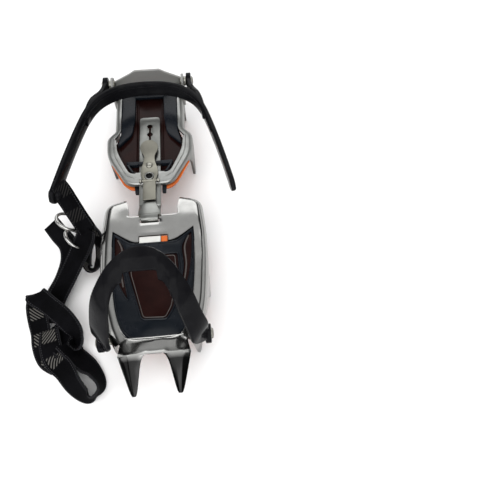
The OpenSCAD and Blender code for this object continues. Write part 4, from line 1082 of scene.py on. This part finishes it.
def lever():
    side = curve_through(LEVER_SIDE, 4)
    outline = side + arc((0, TAB_Y), TAB_R, -6, 186, 24) + mirrored(side)
    seats = [arc((0, EYELET_Y), EYELET_SEAT_R, 0, 350, 35), arc((0, PIN_Y), PIN_SEAT_R, 0, 350, 35)]
    leaf = plate([outline] + seats, LEVER_LOW, LEVER_TOP, 0.3)
    for v in leaf.vertices:
        v.co.z += TAB_CURL * max(0.0, (v.co.y - TAB_CURL_Y) / TAB_CURL_LEN) ** 2
    leaf.update()
    barrel = [(PIVOT_BORE, 0), (1.2, 0), (1.3, 0.1)]
    barrel += [(r, PIVOT_LEN - h) for r, h in reversed(barrel)] + [(PIVOT_BORE, 0)]
    return joined(leaf, turned(barrel, PIVOT_AT, (1, 0, 0), 24))


def upright(profile, y, steps):
    """A body of revolution about a vertical axis on the bar's middle line; heights are above the lever."""
    return turned([(r, LEVER_TOP + h) for r, h in profile], (0, y, 0), (0, 0, 1), steps)


EYELET = [(3.0, -LEVER_T), (3.5, -LEVER_T), (3.5, 0), (4.6, 0), (4.55, 0.35), (4.2, 0.7),
          (3.7, 0.85), (3.2, 0.65), (3.0, 0.2), (3.0, -LEVER_T)]
# Black disc at the bottom of the eyelet's bore: painted shade that darkens the hole
EYELET_HOLE_SHADE = [(ON_AXIS, -LEVER_T), (2.95, -LEVER_T), (2.95, 0.3 - LEVER_T), (ON_AXIS, 0.3 - LEVER_T)]
PIN = [(ON_AXIS, -7.2), (1.3, -7.2), (1.3, -4), (2.4, -4), (2.4, 0), (3.2, 0),
       (3.1, 0.5), (2.5, 0.95), (1.4, 1.15), (ON_AXIS, 1.2)]
piece("link_bar_plate", link_bar(), BAR_STEEL, "bar", "link_bar")
piece("adjust_lever_leaf", lever(), LEVER_STEEL, "lever", "adjust_lever")
piece("lever_eyelet_rolled", upright(EYELET, EYELET_Y, 48), BAR_STEEL,
      "lever", "lever_eyelet", 60)
# The eyelet's black disc is painted shade in its hole
piece("lever_eyelet_hole_shade", upright(EYELET_HOLE_SHADE, EYELET_Y, 32), BAIL, "lever", None)
piece("lever_pin_button", upright(PIN, PIN_Y, 40), SATIN, "lever", "lever_pin")


# Toe guard: outlines are about the toe frame's middle line
GUARD_LOW, GUARD_TOP, TAG_LOW = 37.7, 41.4, 40.2
BODY_LOW, BODY_TOP, BEAD_Z = GUARD_LOW + 0.4, GUARD_TOP - 0.3, GUARD_TOP - 0.4
PANEL_LOW, PANEL_TOP, LOUVRE_FLOOR, LOUVRE_RIB_Z = (GUARD_LOW + step for step in (0.7, 2.4, 2.0, 2.1))
WINDOW_SIDE_Y = (-113.0, -18.0)
MEMBRANE_EDGE = [(-10, -104), (11, -105), (17, -95), (22.5, -59), (21.5, -44), (-21.5, -44), (-22.5, -59)]
MEMBRANE_FRONT_Y = -90
LOUVRE = [(33.6, -23.5), (24.6, -37.5), (25.6, -56), (23.0, -74),
          (21.2, -86), (29.0, -72), (32.6, -55), (34.2, -38)]
LOUVRE_RIB = [(31.2, -27), (27.4, -38), (28.2, -56), (25.6, -73)]
TAG_TONGUE = [(-12.6, -34), (12.6, -34), (12.6, -25.8), (-12.6, -25.8)]
TAG_MARKER = [(10.0, -32.4), (15.5, -32.4), (15.5, -26.2), (10.0, -26.2)]


def toe_window(grow):
    """The toe frame's window, grown or drawn in."""
    inset = RAIL_W - grow
    front = math.degrees(math.asin((WINDOW_SIDE_Y[0] - TAPER_C[1]) / (TAPER_R - inset)))
    rear = math.degrees(math.asin((WINDOW_SIDE_Y[1] + 2 * grow - TOE_SIDE_C[1]) / TOE_SIDE_R))
    middle = math.degrees(TAPER_A)
    right = [(14.0, WINDOW_FRONT_Y - grow), (20.0, WINDOW_FRONT_Y + 1.5 - grow)]
    right += arc(TAPER_C, TAPER_R - inset, front, middle, 8)
    right += arc(TOE_SIDE_C, TOE_SIDE_R - inset, middle, rear, 10)[1:]
    right += [(WINDOW_CORNER[0] - grow * 0.4, WINDOW_CORNER[1] + grow), (16.0, WINDOW_CORNER[1] - 0.5 + grow)]
    return about_toe(right + mirrored(right))


def widened(points, share):
    return [(x * share, y) for x, y in points]


def louvre_edges(share):
    return [curve_through(about_toe(side), 3, True) for side in both_sides(widened(LOUVRE, share))]


def toe_guard():
    opening = rounded(about_toe(MEMBRANE_EDGE), 3)
    louvres = louvre_edges(1)
    outline = rounded(toe_window(-0.6), 1.2, 2)
    body = plate([outline, opening] + louvres, BODY_LOW, BODY_TOP, 0.5)
    flange = plate([toe_window(2.5), toe_window(-6)], GUARD_LOW, GUARD_LOW + 1.8, 0.3, 1)
    bead = tube(at_height(rounded(toe_window(-1.5), 2, 3), BEAD_Z), 0.9)
    lip = tube(at_height(opening, BODY_TOP), 0.9)
    lips = [tube(at_height(edge, BEAD_Z), 0.7) for edge in louvres]
    tongue = plate([about_toe(TAG_TONGUE)], GUARD_LOW, TAG_LOW, 0.2)
    return joined(body, flange, bead, lip, tongue, *lips)


def toe_membrane():
    edge = rounded(about_toe(widened(MEMBRANE_EDGE, 1.02)), 3)
    panel = plate([edge], PANEL_LOW, PANEL_TOP, 0.3)
    floors = [plate([louvre], PANEL_LOW, LOUVRE_FLOOR, 0.2) for louvre in louvre_edges(1.01)]
    return joined(panel, *floors)


# Raised ribs in the louvres; their pale colour is a painted highlight on the raised rims
def louvre_ribs():
    lines = [curve_through(about_toe(side), 5) for side in both_sides(LOUVRE_RIB)]
    return joined(*(tube(at_height(line, LOUVRE_RIB_Z), 0.75, False) for line in lines))


# Raised outline round the membrane; its pale colour is a painted highlight on the rim
def membrane_outline():
    inset = [(x * 0.86, y + (2.2 if y < MEMBRANE_FRONT_Y else -2.0)) for x, y in MEMBRANE_EDGE]
    return tube(at_height(rounded(about_toe(inset), 2.5), PANEL_TOP), 0.4)


def tag_marker():
    return plate([rounded(TAG_MARKER, 0.6)], TAG_LOW - 0.2, TAG_LOW + 0.8, 0.2)


piece("toe_guard_body", toe_guard(), GUARD, "toe", "toe_guard_frame", 45)
piece("toe_guard_panel", toe_membrane(), MEMBRANE, "toe", "toe_guard_membrane", 45)
piece("toe_guard_louvre_ribs", louvre_ribs(), RIM_HIGHLIGHT_PAINT, "toe", None)
piece("toe_guard_outline", membrane_outline(), RIM_HIGHLIGHT_PAINT, "toe", None)
piece("toe_guard_marker", tag_marker(), ORANGE, "toe", None)


# Heel guard: right-hand outlines, and each plate's low and high faces
HEEL_PANEL = [(14, 149), (14.6, 112)] + arc((32.5, 100), 16.2, 180, 232, 6)
HEEL_PANEL += [(27.5, 81.5), (31.0, 78.4), (31.2, 83), (28.3, 95.4), (28.2, 149)]
PANEL_BRIDGE = [(-15, 142), (15, 142), (15, 149), (-15, 149)]
SIDE_FLOOR = [(13.2, 146), (13.2, 46), (20, 45.5), (25.5, 56),
              (33.5, 69), (34.5, 82), (29.5, 96), (29.5, 146)]
CHANNEL = [(-13.4, 44), (13.4, 44), (13.4, 146), (-13.4, 146)]
SIDE_FLOOR_Z, CHANNEL_Z, TRAY_FLOOR_Z = (35.2, 36.9), (33.9, 35.4), (31.8, 33.8)
CHANNEL_LINE_X, CHANNEL_LINE_Z = 12.2, 35.6
TRAY_EDGE = [(15.8, 30.2), (20.0, 31.6), (25.6, 36.9), (29.0, 42.8), (33.0, 50.9), (37.9, 60.7)]
TRAY_Z, TRAY_T = 33.2, 2.6
TRAY_FLOOR = [(20, 34), (27, 47), (31.5, 68), (31.5, 82), (27.5, 96),
              (27.5, 149), (12, 149), (12, 66), (12.5, 34)]
RIB_LEG = [(11.0, 54), (22, 54), (22.3, 58), (11.0, 58)]
RIB_LINING = [(14.6, 45.2), (17.2, 45.2), (22.3, 54.8), (20.3, 55.6)]
RIB_TOP = [(-12, 54.3), (12, 54.3), (12, 57.7), (-12, 57.7)]
RIB_FOOT = [(10.9, 24.6), (14.4, 24.6), (15.4, 36), (10.9, 36)]
RIB_Z, RIB_TOP_Z, RIB_FOOT_Z = (37.0, 42.0), (40.0, 41.9), (33.0, 36.0)


def heel_guard():
    sides = plate_pair(rounded(HEEL_PANEL, 0.8, 2), GUARD_LOW, GUARD_TOP, 0.9, 3)
    return joined(*sides, plate([rounded(PANEL_BRIDGE, 0.8, 2)], GUARD_LOW, GUARD_TOP, 0.6))


def heel_floor():
    """Side floors of the channel and its bottom with raised lines."""
    parts = plate_pair(rounded(SIDE_FLOOR, 1.5, 3), *SIDE_FLOOR_Z, 0.5)
    parts.append(plate([CHANNEL], *CHANNEL_Z, 0.3))
    for x in (-CHANNEL_LINE_X, CHANNEL_LINE_X):
        parts.append(tube([(x, y, CHANNEL_LINE_Z) for y in (45, 70, 100, 130, 145)], 0.8, False))
    return joined(*parts)


def heel_tray():
    """Orange tray: its edge follows the front of the heel frame a little outside the wall."""
    stations = [((x, y, TRAY_Z), (x - 5.0, y + 3.2, TRAY_Z)) for x, y in curve_through(TRAY_EDGE, 4)]
    edges = [band_mesh(line, TRAY_T, 0.8) for line in (stations, [flipped(station) for station in stations])]
    return joined(*edges, *plate_pair(rounded(TRAY_FLOOR, 1, 2), *TRAY_FLOOR_Z, 0.3))


def bar_rib():
    """Rib over the bar, with legs that line the front of the window and feet ahead of it."""
    parts = plate_pair(rounded(RIB_LEG, 0.6, 2), *RIB_Z, 0.5)
    parts += plate_pair(rounded(RIB_LINING, 0.4, 2), *RIB_Z, 0.5)
    parts.append(plate([RIB_TOP], *RIB_TOP_Z, 0.4))
    return joined(*parts, *plate_pair(rounded(RIB_FOOT, 0.8, 2), *RIB_FOOT_Z, 0.5))


piece("heel_guard_panels", heel_guard(), GUARD, "heel", "heel_guard_frame", 45)
piece("heel_guard_floor", heel_floor(), MEMBRANE, "heel", "heel_guard_membrane", 45)
piece("heel_guard_tray", heel_tray(), ORANGE, "heel", "heel_guard_rim", 45)
piece("bar_guide_rib", bar_rib(), GUARD, "heel", "bar_guide", 45)


# Strap: each route has places along the webbing's middle and, at each, the way its width points
WEBBING_W, WEBBING_T, SEAM_INSET, FLOOR_GAP = 19.0, 1.8, 1.7, 0.4
TAB_W, TAB_T = WEBBING_W - 2, 3.4
ROUTE_STEPS = 7
SECTION = [(-0.5, 0.0), (-0.465, 0.5), (-0.2, 0.5), (0.2, 0.5), (0.465, 0.5), (0.5, 0.0),
           (0.465, -0.5), (0.2, -0.5), (-0.2, -0.5), (-0.465, -0.5)]
TAB = (
    [(-71.5, 9, 79), (-69.5, 6, 73), (-66, 1, 66), (-61, -7, 57), (-56.5, -13.5, 47), (-55, -15.5, 42)],
    [(0.5, 0.85, 0), (0.85, 0.5, 0), (1, 0.1, 0), (1, 0, -0.1), (0.95, 0.1, -0.15), (0.95, 0.1, -0.15)])
TAIL = (
    [(-54.5, -11, 42), (-50, -15, 33), (-48.5, -22, 23), (-51.5, -31, 13), (-58, -37.5, 8), (-63, -34, 10),
     (-60.5, -25, 20), (-55.5, -17, 30)],
    [(0.6, -0.3, 0.75)] + [(0.58, -0.25, 0.78)] * 6 + [(0.6, -0.3, 0.75)])
RUN = (
    [(-54.5, -15, 45), (-58, -20, 38), (-64, -27, 30), (-71, -35.5, 22), (-80, -49, 14), (-88, -62, 9),
     (-93, -74, 7), (-95, -86, 6)],
    [(0.5, -0.8, -0.3), (0.65, -0.7, -0.3), (0.8, -0.6, -0.15), (0.82, -0.57, 0), (0.77, -0.63, 0),
     (0.75, -0.65, 0), (0.8, -0.5, 0), (0.9, -0.4, 0)])
UNDER = (
    [(-95, 6, 24), (-88, -3.5, 20), (-80, -14, 16), (-78.5, -28, 11),
     (-84.5, -45, 6), (-92, -60, 4), (-96, -74, 3)],
    [(0.75, 0.4, 0.5), (0.78, 0.4, 0.4), (0.85, 0.35, 0.3), (0.93, 0.1, 0.1),
     (0.9, -0.4, 0), (0.85, -0.4, 0), (0.9, -0.2, 0)])
KNOT = (
    [(-86, -125.4, 7), (-94.3, -118.1, 6), (-99.1, -105.9, 6), (-101.2, -93.7, 6), (-104.6, -81, 7),
     (-106.3, -71, 8.5), (-106, -63.6, 9.6), (-105.4, -60.5, 13), (-104.6, -63.4, 16.4), (-98.4, -68.4, 17.6),
     (-89, -76.8, 18.5), (-83, -82.4, 19), (-76.3, -89.2, 18.5), (-70, -97, 16), (-67.7, -102.6, 12),
     (-67.5, -107, 9), (-70, -110.5, 6.5), (-77, -108, 4.5), (-86, -99, 4), (-93, -91, 4)],
    [(0.75, 0.32, 0.58), (0.89, 0.22, 0.4), (0.96, 0.1, 0.27), (0.98, 0.04, 0.22), (0.99, -0.05, 0.11),
     (1, 0.02, 0.05), (0.97, 0.24, 0.05), (0.96, 0.27, 0.1), (0.95, 0.3, 0.1), (0.86, 0.35, 0.38),
     (0.72, 0.48, 0.5), (0.72, 0.51, 0.47), (0.72, 0.5, 0.48), (0.78, 0.24, 0.57), (0.69, -0.03, 0.73),
     (0.62, 0.05, 0.78), (0.6, 0.4, 0.68), (0.6, 0.7, 0.4), (0.65, 0.75, 0.1), (0.65, 0.75, 0)])
LOOP = (
    [(-92.8, -94.5, 9.5), (-90.5, -107.6, 10), (-85.5, -120.9, 10.5), (-76.6, -130.9, 10.5),
     (-68.6, -143.3, 10), (-60.3, -151.9, 10), (-53.9, -155.8, 10), (-49, -154.1, 10.5), (-46.2, -150, 10.5),
     (-46.7, -143.6, 10), (-51.4, -135.3, 9), (-59.6, -127.1, 8), (-70, -116.6, 7.5), (-79.5, -107.3, 7.5)],
    [(0.92, 0.2, 0.34), (0.98, 0.21, 0), (0.97, 0.25, 0), (0.95, 0.18, 0.26), (0.85, 0.13, 0.51),
     (0.72, 0.1, 0.69), (0.56, 0.02, 0.83), (0.21, -0.12, 0.97), (-0.01, -0.19, 0.98), (-0.22, -0.27, 0.94),
     (-0.42, -0.39, 0.82), (-0.54, -0.68, 0.49), (-0.42, -0.73, 0.54), (-0.27, -0.75, 0.6)])


def ribbon_frames(route):
    """Centre, width direction and face direction at each step along flat webbing, kept above the floor."""
    path = curve_through([(*p, *w) for p, w in zip(*route)], ROUTE_STEPS)
    centres = [Vector(q[:3]) for q in path]
    frames = []
    for i, q in enumerate(path):
        t = (centres[min(i + 1, len(path) - 1)] - centres[max(i - 1, 0)]).normalized()
        w = Vector(q[3:])
        w = (w - t * w.dot(t)).normalized()
        n = t.cross(w)
        low = centres[i].z - abs(w.z) * WEBBING_W / 2 - abs(n.z) * WEBBING_T / 2
        frames.append((centres[i] + Vector((0, 0, max(0.0, FLOOR_GAP - low))), w, n))
    return frames


def ribbon(route, width=WEBBING_W, thick=WEBBING_T):
    """Flat webbing along a route, with UV in centimetres."""
    mesh = bpy.data.meshes.new("ribbon")
    bm = bmesh.new()
    layer = bm.loops.layers.uv.new("UVMap")
    rings, run, last = [], 0.0, None
    for centre, w, n in ribbon_frames(route):
        if last:
            run += (centre - last).length
        last = centre
        rings.append((run / 10, [bm.verts.new(centre + w * a * width + n * b * thick) for a, b in SECTION]))
    count = len(SECTION)
    for (u0, low), (u1, high) in zip(rings, rings[1:]):
        for k in range(count):
            m = (k + 1) % count
            face = bm.faces.new((low[k], low[m], high[m], high[k]))
            for loop, (u, spot) in zip(face.loops, ((u0, k), (u0, m), (u1, m), (u1, k))):
                loop[layer].uv = (u, SECTION[spot][0] * width / 10)
    for _, ring in (rings[0], rings[-1]):
        bm.faces.new(ring)
    bmesh.ops.recalc_face_normals(bm, faces=bm.faces)
    bm.to_mesh(mesh)
    bm.free()
    return mesh


def seam_lines(route, width=WEBBING_W, thick=WEBBING_T):
    """Lines just inside both edges of the webbing, on both faces."""
    frames = ribbon_frames(route)
    return [[c + w * (0.5 * width - SEAM_INSET) * edge + n * 0.5 * thick * face for c, w, n in frames]
            for edge in (-1, 1) for face in (-1, 1)]


def stitch_tree():
    """Stitches at even steps along the edges of a mesh; sizes are in millimetres."""
    g = bpy.data.node_groups.new("stitch_rows", "GeometryNodeTree")
    g.is_modifier = True
    inputs = [("Lines", SHAPE, None), ("Spacing", FLOAT, 2.4), ("Length", FLOAT, 1.5), ("Thread", FLOAT, 0.4),
              ("Finish", FINISH, None)]
    start, end = group_sockets(g, inputs, [("Stitches", SHAPE)])
    curve = g.nodes.new("GeometryNodeMeshToCurve")
    steps = g.nodes.new("GeometryNodeCurveToPoints")
    steps.mode = "LENGTH"
    bead = g.nodes.new("GeometryNodeMeshUVSphere")
    for name, value in (("Segments", 6), ("Rings", 4), ("Radius", 0.5)):
        bead.inputs[name].default_value = value
    size = g.nodes.new("ShaderNodeCombineXYZ")
    placed = g.nodes.new("GeometryNodeInstanceOnPoints")
    solid = g.nodes.new("GeometryNodeRealizeInstances")
    painted = g.nodes.new("GeometryNodeSetMaterial")
    for source, output, target, name in (
            (start, "Lines", curve, "Mesh"), (curve, "Curve", steps, "Curve"),
            (start, "Spacing", steps, "Length"), (start, "Thread", size, "X"),
            (start, "Thread", size, "Y"), (start, "Length", size, "Z"),
            (steps, "Points", placed, "Points"), (steps, "Rotation", placed, "Rotation"),
            (bead, "Mesh", placed, "Instance"), (size, "Vector", placed, "Scale"),
            (placed, "Instances", solid, "Geometry"), (solid, "Geometry", painted, "Geometry"),
            (start, "Finish", painted, "Material"), (painted, "Geometry", end, "Stitches")):
        g.links.new(source.outputs[output], target.inputs[name])
    return g


def stitched(lines, **sizes):
    """The plain mesh of stitches along lines."""
    mesh = bpy.data.meshes.new("seams")
    points, edges = [], []
    for line in lines:
        edges += [(len(points) + k, len(points) + k + 1) for k in range(len(line) - 1)]
        points += [tuple(p) for p in line]
    mesh.from_pydata(points, edges, [])
    obj = linked("seams", mesh)
    rows = obj.modifiers.new("stitches", "NODES")
    rows.node_group = stitch_tree()
    for item in rows.node_group.interface.items_tree:
        if item.in_out == "INPUT" and item.name in sizes:
            rows[item.identifier] = sizes[item.name]
    made = plain_mesh(obj)
    bpy.data.meshes.remove(mesh)
    return made


SEAMS = seam_lines(TAB, TAB_W, TAB_T)
for route in (RUN, UNDER, KNOT, LOOP):
    SEAMS += seam_lines(route)
STITCHES = stitched(SEAMS, Spacing=2.2, Length=1.5, Thread=0.45, Finish=THREAD)
piece("strap_stitches", STITCHES, None, "heel_bail", None, 60)
piece("strap_tab_fold", ribbon(TAB, TAB_W, TAB_T), FAINT, "heel_bail", "strap_tab", 50)
piece("strap_tab_tail", ribbon(TAIL), HATCHED, "heel_bail", None, 50)
piece("strap_run", joined(ribbon(RUN), ribbon(UNDER)), WEBBING, "heel_bail", "strap", 50)
piece("strap_knot", ribbon(KNOT), KNOT_HATCHED, "heel_bail", None, 50)
piece("strap_loop", ribbon(LOOP), PART_HATCHED, "heel_bail", None, 50)


# Rings and rivet of the tab
RING_R, RING_WIRE, RING_STEPS = 10.5, 1.5, 14
TAB_RIVET = [(ON_AXIS, -4.6), (2.6, -4.3), (4.6, -3.4), (5.5, -2.2), (2.5, -2.1),
             (2.5, 3.0), (4.5, 3.0), (4.2, 5.2), (2.4, 6.4), (ON_AXIS, 6.6)]
TAB_RIVET_AT, TAB_RIVET_AXIS = (-76.0, 4.06, 72.3), (0.978, -0.206, 0)


def wire_ring(centre, axis):
    turns = [2 * math.pi * k / RING_STEPS for k in range(RING_STEPS + 1)]
    wire = [(RING_R + RING_WIRE * math.cos(a), RING_WIRE * math.sin(a)) for a in turns]
    return turned(wire, centre, axis, 64)


for ring, centre, axis in (("ring_a", (-73, -4.5, 42), (0.55, 0.35, 0.79)),
                           ("ring_b", (-69, -16, 30), (0.72, 0.3, 0.62))):
    piece(ring + "_wire", wire_ring(centre, axis), POLISHED, "heel_bail", ring, 60)
piece("tab_rivet_heads", turned(TAB_RIVET, TAB_RIVET_AT, TAB_RIVET_AXIS, 40), BAIL,
      "heel_bail", "tab_rivet")


# Kept CAD pieces: edges broken by a small bevel
KEPT_NODES = ("heel_bracket", "lever_bracket", "toe_bail_washers", "heel_bail_washers",
              "size_tag", "lever_pivot")
WELD_REACH, NODE_EDGE = 0.01, 0.3
for name in KEPT_NODES:
    weld = nodes[name].modifiers.new("weld", "WELD")
    weld.merge_threshold = WELD_REACH * MM
    bevel = nodes[name].modifiers.new("edges", "BEVEL")
    bevel.width = NODE_EDGE * MM
    bevel.segments = 2
    bevel.limit_method = "ANGLE"
    bevel.angle_limit = math.radians(40)


# Floor, sky and lamps, in metres; a lamp is (name, place, aim, size, power)
FLOOR_HALF, FLOOR_DROP = 4, 0.0004
LAMPS = [("key", (0.0, -0.8, 1.6), (0, 0, 0), 2.2, 34.0),
         ("fill", (-1.1, -0.5, 0.9), (0, 0, 0.02), 1.2, 6.0),
         ("front", (0.15, -1.5, 0.4), (0, 0, 0.05), 1.2, 14.0),
         ("rear", (0.1, 1.2, 0.8), (0, 0, 0.02), 1.2, 7.0)]


def studio_floor():
    mesh = bpy.data.meshes.new("floor")
    h = FLOOR_HALF
    mesh.from_pydata([(-h, -h, 0), (h, -h, 0), (h, h, 0), (-h, h, 0)], [], [(0, 1, 2, 3)])
    floor = linked("floor", mesh)
    floor.location.z = -FLOOR_DROP
    material, _, shader = finish_material("floor_white")
    shader.inputs["Base Color"].default_value = (0.93, 0.93, 0.93, 1)
    shader.inputs["Roughness"].default_value = 0.9
    shader.inputs["Specular IOR Level"].default_value = 0.1
    mesh.materials.append(material)


def studio_sky():
    """A white sky, brighter above and behind, with two dark flags overhead."""
    world = bpy.data.worlds.new("studio")
    scene.world = world
    world.use_nodes = True
    t = world.node_tree
    x, y, z = xyz(t, coordinates(t, "Generated"))
    height = range_node(t, z, 0.0, 0.5, 0.5, 1.0)
    depth = range_node(t, y, -0.25, 0.75, 0.25, 0.95)
    aside = math_node(t, "ABSOLUTE", x)
    inner, outer = range_node(t, aside, 0.28, 0.38, 1.0, 0.1), range_node(t, aside, 0.54, 0.64, 0.1, 1.2)
    flag = math_node(t, "MAXIMUM", inner, outer)
    overhead = range_node(t, z, 0.3, 0.45)
    shaded = math_node(t, "ADD", 1.0, times(t, overhead, math_node(t, "SUBTRACT", flag, 1.0)))
    background = t.nodes["Background"]
    background.inputs["Color"].default_value = (1, 1, 1, 1)
    t.links.new(times(t, times(t, height, depth), shaded), background.inputs["Strength"])


def studio_lamps():
    for name, place, aim, size, power in LAMPS:
        light = bpy.data.lights.new(name, "AREA")
        light.shape = "SQUARE"
        light.size = size
        light.energy = power
        lamp = linked(name, light)
        lamp.location = place
        lamp.rotation_euler = (Vector(place) - Vector(aim)).to_track_quat("Z", "Y").to_euler()


studio_floor()
studio_sky()
studio_lamps()
